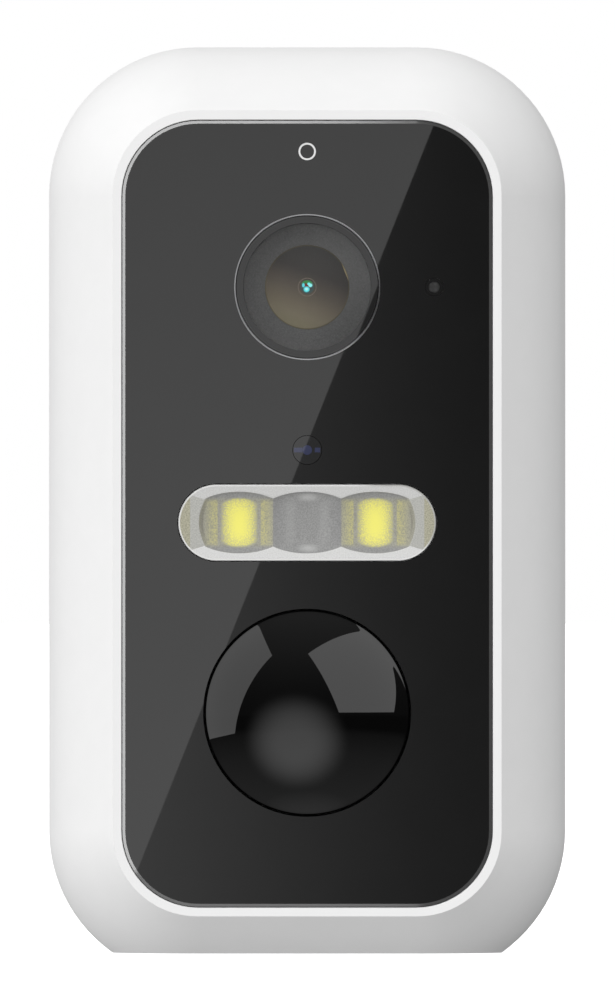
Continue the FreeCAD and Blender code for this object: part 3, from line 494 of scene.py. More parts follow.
def barrel_look():
    """Matt black barrel face with painted light and shade: lighter towards its rim and upper right, darker
    lower right.
    """
    made, shader = material("lens_barrel_face")
    reach = BARREL.high.x - BARREL.mid.x
    across = radial(made, BARREL.mid, reach)
    # Painted light: the tone rises towards the rim, where the walls of the recess shade the face.
    tone = ramp(made, across, (0.66, (0.112, 0.112, 0.112)), (0.85, (0.122, 0.122, 0.122)),
                (1.0, (0.160, 0.160, 0.160)))
    grain = noise(made, 7000)
    # Painted light and shade: lighter at the upper right, darker at the lower right.
    right = math_node(made, "SUBTRACT", slope(made, BARREL.mid, (1, 0, 0), reach), 0.5)
    above = math_node(made, "SUBTRACT", slope(made, BARREL.mid, (0, 0, 1), reach), 0.5)
    corner = product(made, math_node(made, "MAXIMUM", right, 0.0), above, 2.0)
    tone = mix(made, math_node(made, "SUBTRACT", spread(made, grain, 0.06, 0.42), corner), tone,
               (0.02, 0.02, 0.02))
    link(made, tone, shader.inputs["Base Color"])
    link(made, spread(made, grain, 0.45, 0.6), shader.inputs["Roughness"])
    bump(made, shader, grain, 6e-6)
    return made


def coated_glass(radius):
    """Coated front element: a dark glass with a painted reflection that turns from grey to olive across it.
    """
    made, shader = material("coated_glass")
    # Painted reflection: grey at the upper right, turning olive towards the lower left.
    across = slope(made, GLASS.mid, (-0.35, 0, -0.94), radius)
    tone = ramp(made, across, (0.0, (0.050, 0.049, 0.047)), (0.32, (0.050, 0.047, 0.044)),
                (0.55, (0.100, 0.085, 0.070)), (0.85, (0.187, 0.162, 0.113)), (1.0, (0.200, 0.180, 0.113)))
    rim = node(made, "ShaderNodeMapRange", From_Min=0.965, From_Max=0.99, To_Min=0.0, To_Max=0.8)
    link(made, radial(made, GLASS.mid, radius), rim.inputs["Value"])
    tone = mix(made, rim.outputs["Result"], tone, (0.105, 0.092, 0.055))
    grain = noise(made, 9000)
    link(made, mix(made, math_node(made, "MULTIPLY", grain, 0.12), tone, (0.0, 0.0, 0.0)),
         shader.inputs["Base Color"])
    link(made, spread(made, grain, 0.05, 0.08), shader.inputs["Roughness"])
    return made


def pupil_look(middle):
    """The pupil: dark red-brown between small cyan glints, which are painted highlights, with a green arc
    above them.
    """
    made, shader = material("pupil")
    tone = ramp(made, radial(made, middle, 0.00073), (0.0, (0.06, 0.028, 0.024)), (0.5, (0.05, 0.06, 0.06)),
                (0.85, (0.06, 0.10, 0.10)), (1.0, (0.07, 0.075, 0.07)))
    # The last five spots are painted highlights: the cyan glints.
    spots = [                                  # (x, z) from the middle, half width, half height, colour
        ((0.0, 0.00046), 0.00058, 0.00024, (0.045, 0.26, 0.07)),
        ((0.0, 0.00022), 0.00042, 0.00020, (0.16, 0.03, 0.024)),
        ((0.00018, 0.00034), 0.00017, 0.00014, (0.20, 0.95, 0.95)),
        ((0.00034, 0.00019), 0.00020, 0.00019, (0.32, 0.97, 0.97)),
        ((-0.00040, 0.00020), 0.00014, 0.00022, (0.12, 0.72, 0.80)),
        ((-0.00006, -0.00023), 0.00030, 0.00028, (0.14, 0.93, 0.98)),
        ((-0.00006, -0.00021), 0.00014, 0.00013, (0.52, 1.0, 1.0)),
    ]
    for (x, z), half_wide, half_high, colour in spots:
        spot = disc_mask(made, middle + Vector((x, 0, z)), half_wide, half_high, 0.3)
        tone = mix(made, spot, tone, colour)
    link(made, tone, shader.inputs["Base Color"])
    link(made, spread(made, noise(made, 9000), 0.05, 0.1), shader.inputs["Roughness"])
    return made


LENS_RADIUS = 0.00446
LENS_SAG = 0.00095                             # height of the front element's dome
LENS_BALL = (LENS_RADIUS ** 2 + LENS_SAG ** 2) / (2 * LENS_SAG)
LENS_X, LENS_Z = RING.mid.x, RING.mid.z
LENS_TIP = GLASS.low.y
PUPIL_RADIUS = 0.00073


def lens_surface(radius):
    """Depth of the front element's surface at a radius."""
    return LENS_TIP + LENS_BALL - math.sqrt(LENS_BALL ** 2 - radius ** 2)


def front_element():
    """The domed front glass with its flat back."""
    profile = cap_profile(LENS_BALL, math.asin(LENS_RADIUS / LENS_BALL), LENS_TIP, 32)
    back = profile[-1][1] + 0.0012
    profile += [(LENS_RADIUS, back), (0, back)]
    add_piece("lens_glass", lathe(profile, LENS_X, LENS_Z), coated_glass(LENS_RADIUS), "lens_clear",
              "lens_front_element")


def lens_pupil():
    """The small pupil on the middle of the glass and the thin halo round it, which is a painted reflection.
    """
    front = Vector((LENS_X, LENS_TIP - 0.00002, LENS_Z))
    profile = [(0, front.y), (0.00062, front.y), (PUPIL_RADIUS, front.y + 0.00003),
               (PUPIL_RADIUS, LENS_TIP + 0.0001)]
    add_piece("lens_pupil", lathe(profile, LENS_X, LENS_Z, 64), pupil_look(front), "lens_clear")
    # Painted reflection: a thin warm ring on the glass round the pupil.
    halo = moulded("pupil_halo", (0.20, 0.165, 0.13), 0.2, variation=0.05)
    halo_y = lens_surface(0.00095) - 0.000015
    add_piece("lens_pupil_halo", lathe([(0.00092, halo_y), (0.00097, halo_y)], LENS_X, LENS_Z, 64), halo,
              "lens_clear")


def lens_edge_glint():
    """A painted reflection: a narrow gold crescent just inside the edge of the glass."""
    look = moulded("edge_glint", (0.30, 0.25, 0.14), 0.25, variation=0.05)
    start, sweep, widest, steps = 8, 27, 0.00014, 16
    edge = LENS_RADIUS - 0.00003
    form = bmesh.new()
    inner, outer = [], []
    for step in range(steps + 1):
        share = step / steps
        angle = math.radians(start + sweep * share)
        width = widest * math.sin(math.pi * share)
        for row, reach in ((outer, edge), (inner, edge - width)):
            row.append(form.verts.new((LENS_X + reach * math.cos(angle), lens_surface(reach) - 0.00003,
                                       LENS_Z + reach * math.sin(angle))))
    for step in range(steps):
        form.faces.new((outer[step], inner[step], inner[step + 1], outer[step + 1]))
    bmesh.ops.remove_doubles(form, verts=form.verts, dist=1e-7)
    bmesh.ops.recalc_face_normals(form, faces=form.faces)
    add_piece("lens_edge_glint", form, look, "lens_clear")


def lens_trim(made):
    """Black border of the lens window and the bright ring round it."""
    border_y = WINDOW.low.y - 0.00003
    border = [(BARREL.high.x - LENS_X + 0.00002, border_y), (0.00749, border_y)]
    add_piece("lens_window_border", lathe(border, LENS_X, LENS_Z, 192), made["panel_black"], "window_clear")
    outer_radius = RING.high.x - LENS_X
    face, wall = 0.00013, 0.0006
    drop = face * PANEL_EDGE_DEEP / PANEL_EDGE_WIDE
    profile = [(outer_radius - face, RING.low.y + 0.0012), (outer_radius - face, RING.low.y),
               (outer_radius, RING.low.y + drop), (outer_radius, RING.high.y),
               (outer_radius - wall, RING.high.y)]
    look = metal("trim_ring", (0.50, 0.50, 0.51), 0.22, (1, 0.2, 1), 3000, 2e-7)
    add_piece("lens_trim_ring", lathe(profile, LENS_X, LENS_Z, 192), look, "ring_metal", "lens_ring")


def camera_lens(made):
    """Everything of the lens that shows in its window."""
    front_element()
    lens_pupil()
    lens_edge_glint()
    lens_trim(made)


# ---------------------------------------------------------------- floodlight window

LOBE_WIDE = 0.0057                             # half width, half height and depth of a lens lobe
LOBE_HIGH = 0.00325
LOBE_DEEP = 0.00055
LED_HALF = 0.00175
LOBE_PITCH = LEDS.high.x - LED_HALF            # from the middle of the window to each LED
LOBE_END = 0.01145                             # where the outer lobes stop on the axis
LOBE_RUNOUT = 0.00035                          # over this width the outer lobes come up to the surface
CORNER_X, CORNER_Z = 0.01080, 0.00245          # where lobe end and end facet meet
FACET_END = 0.01237                            # upright line across each end of the window
FACET_FLARE = 0.30
GLOW_HALF_WIDE = 0.00199                       # glow of one LED seen through the frosting
GLOW_HALF_HIGH = 0.00250
MIDDLE_END = (0.00366, 0.0036)                 # soft edge where the middle lobe ends
LINE_SOFT = 0.00004                            # half width of the soft edge of a drawn line
LOBE_SOFT = 0.008                              # soft share of a lobe's outline


def lobe_end(z):
    """How far out the outer lobes reach at a height."""
    return LOBE_END - (LOBE_END - CORNER_X) * (z / CORNER_Z) ** 2


def lobe_depth(x, z):
    """How deep the surface lies inside the nearest of the three lens lobes, 0 outside them."""
    depth = 0.0
    for middle in (-LOBE_PITCH, 0.0, LOBE_PITCH):
        share = ((x - middle) / LOBE_WIDE) ** 2 + (z / LOBE_HIGH) ** 2
        if share < 1:
            depth = max(depth, LOBE_DEEP * math.sqrt(1 - share))
    left_over = (lobe_end(z) - abs(x)) / LOBE_RUNOUT
    return depth * min(max(left_over, 0.0), 1.0)


class FloodPlace:
    """Where a point lies on the floodlight window, as sockets measured from its middle."""

    def __init__(self, made):
        split = node(made, "ShaderNodeSeparateXYZ")
        link(made, place(made, FLOOD.mid), split.inputs["Vector"])
        self.across = split.outputs["X"]
        self.up = split.outputs["Z"]
        self.away = math_node(made, "ABSOLUTE", self.across)
        self.tall = math_node(made, "ABSOLUTE", self.up)
        self.grain = step_mask(made, noise(made, 7500, 2.0), 0.32, 0.68)
        curve = product(made, self.tall, self.tall, (LOBE_END - CORNER_X) / CORNER_Z ** 2)
        self.end_curve = math_node(made, "ADD", self.away, curve)
        self.short_of_end = step_mask(made, self.end_curve, LOBE_END + LINE_SOFT, LOBE_END - LINE_SOFT)

    def grainy(self, made, dark, light):
        """A frosted tone between two colours."""
        return mix(made, self.grain, dark, light)


def flood_surround(made, spot):
    """Pale frosted surround, a little brighter towards its foot."""
    height = step_mask(made, spot.up, -0.003, 0.003)
    return mix(made, height, spot.grainy(made, (0.64, 0.64, 0.63), (0.74, 0.74, 0.73)),
               spot.grainy(made, (0.54, 0.54, 0.53), (0.63, 0.63, 0.62)))


def flood_lobes(made, spot, tone):
    """Three grey lobes; the outer two are warmer at the height of the LEDs."""
    grey = spot.grainy(made, (0.255, 0.255, 0.25), (0.345, 0.345, 0.34))
    warm = spot.grainy(made, (0.295, 0.29, 0.245), (0.405, 0.395, 0.33))
    for middle in (-LOBE_PITCH, 0.0, LOBE_PITCH):
        lobe = disc_mask(made, FLOOD.mid + Vector((middle, 0, 0)), LOBE_WIDE, LOBE_HIGH, LOBE_SOFT)
        tone = mix(made, product(made, lobe, spot.short_of_end), tone,
                   mix(made, step_mask(made, spot.tall, 0.0029, 0.0022), grey, warm))
    middle_lobe = disc_mask(made, FLOOD.mid, LOBE_WIDE, LOBE_HIGH, LOBE_SOFT)
    return mix(made, product(made, middle_lobe, step_mask(made, spot.away, *MIDDLE_END)), tone, grey)


def flood_middle(made, spot, tone):
    """Painted shading of the middle lobe: painted shade on its sides, two paler streaks of painted light, a
    painted highlight above and below.
    """
    # Painted shade on the sides of the middle lobe.
    sides = product(made, band(made, spot.away, (0.0022, 0.0035), MIDDLE_END),
                    step_mask(made, spot.tall, 0.0028, 0.0020))
    tone = mix(made, product(made, sides, 0.22), tone, (0.20, 0.20, 0.205))
    # Painted light: two paler upright streaks.
    painted_streaks = product(made, band(made, spot.away, (0.0010, 0.0017), (0.0026, 0.0019)),
                      step_mask(made, spot.tall, 0.0030, 0.0015))
    tone = mix(made, product(made, painted_streaks, 0.13), tone, (0.55, 0.55, 0.54))
    # Painted highlights above and below the middle.
    for side in (-1, 1):
        middle = FLOOD.mid + Vector((0.0001, 0, side * 0.0027))
        painted_gleam = disc_mask(made, middle, 0.0008, 0.00032, 0.9)
        tone = mix(made, product(made, painted_gleam, 0.55), tone, (0.56, 0.56, 0.55))
    return tone


def flood_ends(made, spot, tone):
    """A dark crescent of painted shade in each outer lobe, then the facets between lobe and end of the
    window.
    """
    # Painted shade: a dark crescent along the inner line of the lobe's bevel.
    crescent = product(made, band(made, spot.end_curve, (LOBE_END - 0.00050, LOBE_END - 0.00042),
                                  (LOBE_END - 0.00028, LOBE_END - 0.00036)),
                       step_mask(made, spot.tall, CORNER_Z, 0.0))
    tone = mix(made, product(made, crescent, 0.5), tone, (0.20, 0.19, 0.16))
    flare = math_node(made, "ADD", CORNER_Z - CORNER_X * FACET_FLARE,
                      math_node(made, "MULTIPLY", spot.away, FACET_FLARE))
    facet = product(made, math_node(made, "LESS_THAN", spot.tall, flare),
                    math_node(made, "SUBTRACT", 1.0, spot.short_of_end))
    tone = mix(made, facet, tone, spot.grainy(made, (0.395, 0.395, 0.37), (0.515, 0.515, 0.48)))
    last = product(made, facet, step_mask(made, spot.away, FACET_END - LINE_SOFT, FACET_END + LINE_SOFT))
    return mix(made, last, tone, spot.grainy(made, (0.31, 0.30, 0.22), (0.51, 0.49, 0.37)))


def flood_rim(made, spot, tone):
    """Thin rim all round as a painted highlight: bright except at the upper right, which is painted in
    shade.
    """
    half_high = FLOOD.high.z - FLOOD.mid.z
    straight = FLOOD.high.x - FLOOD.mid.x - half_high
    past_straight = math_node(made, "MAXIMUM", math_node(made, "SUBTRACT", spot.away, straight), 0.0)
    rim = step_mask(made, length(made, past_straight, spot.up), half_high - 0.00022, half_high - 0.00013)
    # Painted highlight on the rim everywhere except at the upper right.
    painted_lit_side = step_mask(made, math_node(made, "ADD", spot.across, spot.up), 0.0125, 0.0085)
    return mix(made, rim, tone, mix(made, painted_lit_side, (0.46, 0.46, 0.44), (0.80, 0.80, 0.79)))


def flood_glow(made, spot, tone):
    """The two LEDs glowing through the frosting, each with a faint painted streak of light on both sides.
    """
    from_led = math_node(made, "ABSOLUTE", math_node(made, "SUBTRACT", spot.away, LOBE_PITCH))
    # Painted light: a faint streak on both sides of each LED.
    painted_streak = product(made, band(made, from_led, (0.00222, 0.00234), (0.0040, 0.0024)),
                     step_mask(made, spot.tall, 0.0026, 0.0021),
                     math_node(made, "ADD", product(made, spot.grain, 0.6), 0.15),
                     spot.short_of_end, step_mask(made, spot.away, 0.00352, 0.00360))
    tone = mix(made, painted_streak, tone, (0.60, 0.56, 0.20))
    wide = math_node(made, "POWER", math_node(made, "MULTIPLY", from_led, 1 / GLOW_HALF_WIDE), 2.3)
    high = math_node(made, "POWER", math_node(made, "MULTIPLY", spot.tall, 1 / GLOW_HALF_HIGH), 3.0)
    rounded = math_node(made, "ADD", spot.tall, product(made, wide, 0.0006))
    core = product(made, math_node(made, "MAXIMUM", math_node(made, "SUBTRACT", 1.0, wide), 0.0),
                   math_node(made, "SUBTRACT", 1.0, product(made, high, 0.5)),
                   step_mask(made, rounded, GLOW_HALF_HIGH + 0.00022, GLOW_HALF_HIGH - 0.00014))
    between = product(made, core, math_node(made, "SUBTRACT", 1.0, core))
    grain = product(made, between, math_node(made, "SUBTRACT", 0.5, spot.grain), 2.2)
    return mix(made, math_node(made, "ADD", core, grain), tone, (0.935, 0.88, 0.175))


def flood_look():
    """Frosted window: pale surround, grey lobes and the yellow LEDs glowing through two of them, with
    painted highlights, shade and streaks of light.
    """
    made, shader = material("flood_window")
    spot = FloodPlace(made)
    tone = flood_surround(made, spot)
    for layer in (flood_lobes, flood_middle, flood_ends, flood_rim, flood_glow):
        tone = layer(made, spot, tone)
    link(made, tone, shader.inputs["Base Color"])
    link(made, spread(made, spot.grain, 0.35, 0.5), shader.inputs["Roughness"])
    bump(made, shader, spot.grain, 4e-6)
    return made


def flood_window():
    """The frosted window: a pill with three hollowed lobes and a softened border."""
    half_wide = FLOOD.high.x - FLOOD.mid.x
    half_high = FLOOD.high.z - FLOOD.mid.z
    columns, rows = 300, 84
    edge_round = 0.00006
    front = FLOOD.low.y
    form = bmesh.new()
    grid = []
    for column in range(columns + 1):
        x = half_wide * math.sin(math.pi * (column / columns - 0.5))
        over = max(abs(x) - (half_wide - half_high), 0.0)
        tall = math.sqrt(max(half_high ** 2 - over ** 2, 1e-12))
        line = []
        for row in range(rows + 1):
            z = tall * math.sin(math.pi * (row / rows - 0.5))
            border = max(half_high - math.hypot(over, z), 0.0)
            y = front + lobe_depth(x, z) + max(edge_round - border, 0.0)
            line.append(form.verts.new((FLOOD.mid.x + x, y, FLOOD.mid.z + z)))
        grid.append(line)
    for column in range(columns):
        for row in range(rows):
            form.faces.new((grid[column][row], grid[column + 1][row],
                            grid[column + 1][row + 1], grid[column][row + 1]))
    bmesh.ops.remove_doubles(form, verts=form.verts, dist=1e-7)
    border = [edge for edge in form.edges if edge.is_boundary]
    extruded = bmesh.ops.extrude_edge_only(form, edges=border)["geom"]
    for vertex in (item for item in extruded if isinstance(item, bmesh.types.BMVert)):
        vertex.co.y = FLOOD.high.y
    bmesh.ops.holes_fill(form, edges=[edge for edge in form.edges if edge.is_boundary])
    bmesh.ops.recalc_face_normals(form, faces=form.faces)
    add_piece("flood_window", form, flood_look(), "flood_lens", "floodlight_lens")


# ---------------------------------------------------------------- small windows

def light_sensor_window(made):
    """Smoked window with the sensor's round die and its two contact bars showing in it."""
    x, z = SENSOR.mid.x, SENSOR.mid.z
    front = PANEL_Y + 0.00002
    radius = SENSOR.high.x - x
    profile = [(0, front), (radius - 0.00003, front), (radius, front + 0.00003), (radius, front + 0.0004)]
    add_piece("light_sensor_cover", lathe(profile, x, z, 96), made["sensor_window"],
              "sensor_window", "ambient_window")
    die = [(0, front - 0.00002), (0.00050, front - 0.00002), (0.00052, front)]
    add_piece("light_sensor_die", lathe(die, x, z, 64), made["sensor_chip"], "sensor_chip")
    form = bmesh.new()
    for start, end in ((-0.00140, -0.00050), (0.00080, 0.00138)):
        for vertex in bmesh.ops.create_cube(form, size=1.0)["verts"]:
            vertex.co = (x + (start + end) / 2 + vertex.co.x * (end - start),
                         front + vertex.co.y * 0.00004, z + vertex.co.z * 0.00050)
    bmesh.ops.bevel(form, geom=form.edges, offset=0.00001, segments=2, affect="EDGES")
    add_piece("light_sensor_bars", form, made["sensor_chip"], "sensor_chip")


def microphone_mesh():
    """Woven dust mesh seen through the microphone hole."""
    made, shader = material("mic_mesh")
    weave = []
    for direction in ("X", "Z"):
        wave = node(made, "ShaderNodeTexWave", Scale=450.0)
        wave.bands_direction = direction
        link(made, place(made), wave.inputs["Vector"])
        weave.append(wave.outputs["Fac"])
    threads = math_node(made, "MULTIPLY", *weave)
    link(made, ramp(made, threads, (0.0, (0.036, 0.036, 0.036)), (1.0, (0.054, 0.054, 0.054))),
         shader.inputs["Base Color"])
    link(made, spread(made, threads, 0.5, 0.7), shader.inputs["Roughness"])
    bump(made, shader, threads, 3e-5)
    depth = MIC.low.y + 0.00012
    profile = [(0, depth), (0.0005, depth), (0.00063, depth + 0.00006)]
    add_piece("microphone_mesh", lathe(profile, MIC.mid.x, MIC.mid.z, 64), made, "barrel_black")


# ---------------------------------------------------------------- studio

CAMERA_DISTANCE = 3.0
CAMERA_X = 0.000035
CAMERA_Z = 0.0480                              # level with the middle of the part
FILM_HEIGHT = 36
PART_SHARE = 0.9053                            # share of the picture's height that the part fills
WIDEST_Y = 0.0154                              # depth from the front to where the outline is widest

# Soft light from a direction: even, and more from the upper left front, the sides and behind.
SOFT_EVEN = 0.64
SOFT_LEAN = (-0.35, -0.63, 0.54)
SOFT_SIDES = 0.128
SOFT_UPRIGHT = 0.235                           # taken off straight above and below
SOFT_BEHIND = 0.75
SOFT_LEAST = 0.02

# What polished surfaces see above the horizon, and how much brighter it is straight up.
SKY_GLOW, SKY_RISE = 0.05, 0.21
# How bright they see the ground, from the horizon (0) to straight down (1).
GROUND_GLOW = ((0.0, 0.050), (0.03, 0.050), (0.05, 0.027), (0.20, 0.027), (0.28, 0.106), (0.53, 0.213),
               (0.90, 0.31), (1.0, 0.54))


def soft_light(world, direction, x, y, upright):
    """How bright matt surfaces see each direction."""
    lean = node(world, "ShaderNodeVectorMath")
    lean.operation = "DOT_PRODUCT"
    lean.inputs[1].default_value = SOFT_LEAN
    link(world, direction, lean.inputs[0])
    sides = math_node(world, "SUBTRACT", product(world, x, x, SOFT_SIDES),
                      math_node(world, "MULTIPLY", upright, SOFT_UPRIGHT))
    main = math_node(world, "ADD", math_node(world, "ADD", lean.outputs["Value"], SOFT_EVEN), sides)
    main = math_node(world, "MAXIMUM", main, SOFT_LEAST)
    behind = math_node(world, "MAXIMUM", y, 0.0)
    return math_node(world, "ADD", main, product(world, behind, behind, SOFT_BEHIND))


def dim_studio(world, z, upright):
    """How bright polished surfaces see each direction."""
    above = math_node(world, "ADD", math_node(world, "MULTIPLY", upright, SKY_RISE), SKY_GLOW)
    ground = ramp(world, math_node(world, "MULTIPLY", z, -1.0),
                  *((depth, (glow,) * 3) for depth, glow in GROUND_GLOW))
    return choose(world, math_node(world, "LESS_THAN", z, 0.0), above, ground)


def world_light():
    """Soft all-round light; the camera sees plain white and polished surfaces a dim studio."""
    world = bpy.data.worlds.new("studio")
    scene.world = world
    world.use_nodes = True
    background = world.node_tree.nodes["Background"]
    background.inputs["Color"].default_value = (1, 1, 1, 1)
    direction = node(world, "ShaderNodeTexCoord").outputs["Generated"]
    split = node(world, "ShaderNodeSeparateXYZ")
    link(world, direction, split.inputs["Vector"])
    x, y, z = split.outputs["X"], split.outputs["Y"], split.outputs["Z"]
    upright = math_node(world, "MULTIPLY", z, z)
    path = node(world, "ShaderNodeLightPath")
    lit = choose(world, path.outputs["Is Glossy Ray"], soft_light(world, direction, x, y, upright),
                 dim_studio(world, z, upright))
    link(world, choose(world, path.outputs["Is Camera Ray"], lit, 1.0), background.inputs["Strength"])


def camera():
    """Straight-on camera, level with the middle of the part and framed as tall as the part shows."""
    data = bpy.data.cameras.new("camera")
    item = bpy.data.objects.new("camera", data)
    scene.collection.objects.link(item)
    item.location = (CAMERA_X, low.y - CAMERA_DISTANCE, CAMERA_Z)
    item.rotation_euler = (math.radians(90), 0, 0)
    data.sensor_fit = "VERTICAL"
    data.sensor_height = FILM_HEIGHT
    shown_height = (high.z - low.z) / PART_SHARE
    data.lens = FILM_HEIGHT * (CAMERA_DISTANCE + WIDEST_Y) / shown_height
    scene.camera = item


FLOOR_DROP = 0.00005                           # keeps the floor just clear of the flat underside


def floor():
    """Pale floor that keeps only a trace of the contact shadow."""
    mesh = bpy.data.meshes.new("floor")
    item = bpy.data.objects.new("floor", mesh)
    item.location.z = -FLOOR_DROP
    scene.collection.objects.link(item)
    form = bmesh.new()
    bmesh.ops.create_grid(form, x_segments=1, y_segments=1, size=8.0)
    form.to_mesh(mesh)
    form.free()
    made, shader = material("floor")
    set_inputs(shader, {"Base Color": (0.8, 0.8, 0.8, 1), "Roughness": 0.9, "Emission Strength": 0.92,
                        "Emission Color": (1, 1, 1, 1), "Specular IOR Level": 0.0})
    mesh.materials.append(made)
    item.visible_diffuse = False
    item.visible_glossy = False


def card_material(name, strength):
    """Light of a reflector card; strength is a number or a function that builds a socket."""
    made = bpy.data.materials.new(name)
    made.use_nodes = True
    made.node_tree.nodes.clear()
    emission = node(made, "ShaderNodeEmission")
    if callable(strength):
        link(made, strength(made), emission.inputs["Strength"])
    else:
        emission.inputs["Strength"].default_value = strength
    add = made.node_tree.nodes.new("ShaderNodeAddShader")
    link(made, emission.outputs[0], add.inputs[0])
    link(made, node(made, "ShaderNodeBsdfTransparent").outputs[0], add.inputs[1])
    link(made, add.outputs[0], node(made, "ShaderNodeOutputMaterial").inputs["Surface"])
    made.cycles.emission_sampling = "NONE"
    return made


def card(name, faces, strength, receivers):
    """A studio card that only polished surfaces see, and only the named pieces."""
    mesh = bpy.data.meshes.new(name)
    points = [tuple(point) for face in faces for point in face]
    indices = []
    for face in faces:
        first = sum(len(row) for row in indices)
        indices.append(list(range(first, first + len(face))))
    mesh.from_pydata(points, [], indices)
    item = bpy.data.objects.new(name, mesh)
    scene.collection.objects.link(item)
    mesh.materials.append(card_material(name, strength))
    for kind in ("camera", "diffuse", "transmission", "volume_scatter", "shadow"):
        setattr(item, "visible_" + kind, False)
    seen_by = bpy.data.collections.new(name + "_receivers")
    for receiver in receivers:
        seen_by.objects.link(bpy.data.objects[receiver])
    item.light_linking.receiver_collection = seen_by


def mirrored(x, z, distance):
    """Where a card has to be for the camera to see it in the panel at x, z."""
    reach = distance / (CAMERA_DISTANCE + PANEL_Y - low.y)
    return Vector((x + (x - CAMERA_X) * reach, PANEL_Y - distance, z + (z - CAMERA_Z) * reach))


GLARE_X, GLARE_Z = 0.00881, 0.07617            # a point on the slanting edge of the panel's glare
GLARE_LEAN = 0.3976                            # how far that edge runs sideways for its height
GLARE_TOP, GLARE_FOOT = 0.0970, -0.0010
GLARE_SIDE = 0.03
HALF_TALL = 0.048


def panel_reflections(name, receivers, distance, offset=0.0):
    """A large softbox mirrored in the panel: bright left of a slanting edge, fading right of it."""
    left, edge, right = [], [], []
    for z in (GLARE_TOP, GLARE_FOOT):
        left.append(mirrored(-GLARE_SIDE, z, distance))
        edge.append(mirrored(GLARE_X + offset + (z - GLARE_Z) * GLARE_LEAN, z, distance))
        right.append(mirrored(GLARE_SIDE, z, distance))

    def depth_down(made):
        """0 at the top of the panel and 1 at its foot."""
        return slope(made, mirrored(0, CAMERA_Z, distance), (0, 0, -1), HALF_TALL)

    def bright(made):
        return math_node(made, "ADD", 1.25, product(made, depth_down(made), 0.46))

    def fading(made):
        across = slope(made, mirrored(0.003, CAMERA_Z, distance), (-1, 0, 0), 0.0195)
        rest = math_node(made, "ADD", 0.06, product(made, depth_down(made), 0.055))
        near_edge = math_node(made, "POWER", math_node(made, "MAXIMUM", across, 0.0), 1.5)
        return math_node(made, "ADD", rest, product(made, near_edge, 0.62))

    card(name + "_glare", [[left[1], edge[1], edge[0], left[0]]], bright, receivers)
    card(name + "_fading", [[edge[1], right[1], right[0], edge[0]]], fading, receivers)


EDGE_CARD_DISTANCE = 0.5
EDGE_CARD_HALF = 0.16                          # half width of the ring of cards, in radians


def chamfer_reflections(name, middle, stretches, receivers):
    """A ring of cards round the camera, seen only in edges that slope a little.

    Each stretch is (start angle, end angle, strength), in degrees round the middle.
    """
    lean = 2 * math.atan2(PANEL_EDGE_DEEP, PANEL_EDGE_WIDE)
    inner, outer = lean - EDGE_CARD_HALF, lean + EDGE_CARD_HALF
    steps = 24
    for number, (start, end, strength) in enumerate(stretches):
        faces = []
        for step in range(steps):
            corners = []
            for turn, off_axis in ((step, inner), (step + 1, inner), (step + 1, outer), (step, outer)):
                angle = math.radians(start + (end - start) * turn / steps)
                radius = EDGE_CARD_DISTANCE * math.sin(off_axis)
                corners.append(Vector((middle.x + radius * math.cos(angle),
                                       PANEL_Y - EDGE_CARD_DISTANCE * math.cos(off_axis),
                                       middle.z + radius * math.sin(angle))))
            faces.append(corners)
        card("%s_%d" % (name, number), faces, strength, receivers)


# Softboxes round the motion dome: directions of their corners from the dome's middle, and strength.
SOFTBOXES = {
    "left_softbox": ([(-0.484, -0.024, 0.874), (-0.430, -0.577, 0.695), (-0.850, -0.465, -0.248),
                      (-0.964, -0.019, -0.266)], 1.45),
    "right_softbox": ([(0.010, -0.672, 0.740), (0.543, -0.118, 0.832), (0.826, -0.080, 0.545),
                       (0.949, -0.209, 0.234), (0.958, -0.288, 0.0), (0.427, -0.904, 0.0)], 1.72),
}
DOME_CARD_DISTANCE = 0.6
ROUND_LIGHT_WAY = (-0.155, -0.896, -0.409)
ROUND_LIGHT_SPREAD = math.radians(46)


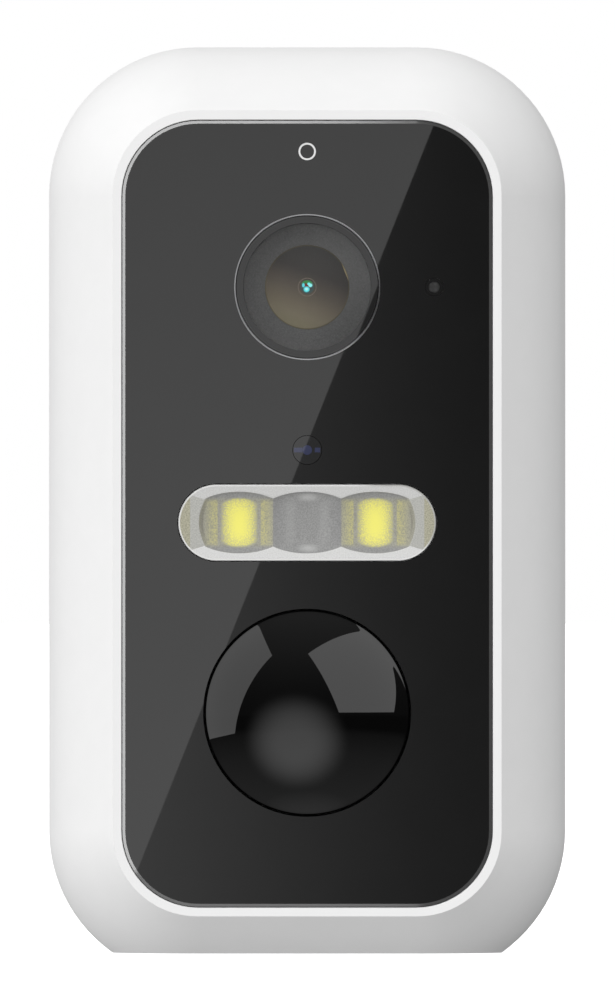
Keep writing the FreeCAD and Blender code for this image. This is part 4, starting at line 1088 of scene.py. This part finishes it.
def dome_reflections(receivers):
    """Two softboxes beside the camera and a soft round light low in front of it."""
    middle = Vector((DOME.mid.x, DOME.low.y + 0.004, DOME.mid.z))
    for name, (corners, strength) in SOFTBOXES.items():
        faces = [[middle + Vector(corner) * DOME_CARD_DISTANCE for corner in corners]]
        card(name, faces, strength, receivers)
    way = Vector(ROUND_LIGHT_WAY).normalized()
    spot = middle + way * DOME_CARD_DISTANCE
    turn = way.to_track_quat("Z", "Y").to_matrix()
    reach = DOME_CARD_DISTANCE * math.tan(ROUND_LIGHT_SPREAD)
    ring = [spot + turn @ Vector((reach * math.cos(angle), reach * math.sin(angle), 0))
            for angle in (2 * math.pi * step / 64 for step in range(64))]

    def soft(made):
        away = from_middle(made, spot, (1 / reach, 1 / reach, 1.05 / reach))
        fade = node(made, "ShaderNodeMapRange", From_Min=0.1, From_Max=0.95, To_Min=1.25, To_Max=0.0)
        fade.interpolation_type = "SMOOTHERSTEP"
        link(made, away, fade.inputs["Value"])
        return fade.outputs["Result"]

    card("round_light", [ring], soft, receivers)


GLARE_RECEIVERS = ["front_panel", "light_sensor_cover", "light_sensor_die", "light_sensor_bars", "mic_port",
                   "status_light_core"]
EDGE_LIGHT = ((87.8, 217.5, 12.0), (217.5, 275.0, 3.2), (275.0, 447.8, 0.75))
RING_LIGHT = ((15.0, 315.0, 0.62), (315.0, 375.0, 0.10))
BORDER_OFFSET = 0.00082                        # the glare lies further right in the lens window's border


def reflections():
    """All the cards that polished surfaces see."""
    panel_reflections("panel", GLARE_RECEIVERS, 0.50)
    panel_reflections("lens_window", ["lens_window_border"], 0.48, BORDER_OFFSET)
    chamfer_reflections("panel_edge_card", PANEL.mid, EDGE_LIGHT, ["panel_edge"])
    chamfer_reflections("ring_card", RING.mid, RING_LIGHT, ["lens_trim_ring"])
    dome_reflections(["motion_dome"])


# ---------------------------------------------------------------- build

finishes = dress_cad_nodes()
panel_edge()
motion_dome(finishes)
camera_lens(finishes)
flood_window()
light_sensor_window(finishes)
microphone_mesh()

scene.view_settings.view_transform = "Standard"
world_light()
camera()
floor()
reflections()
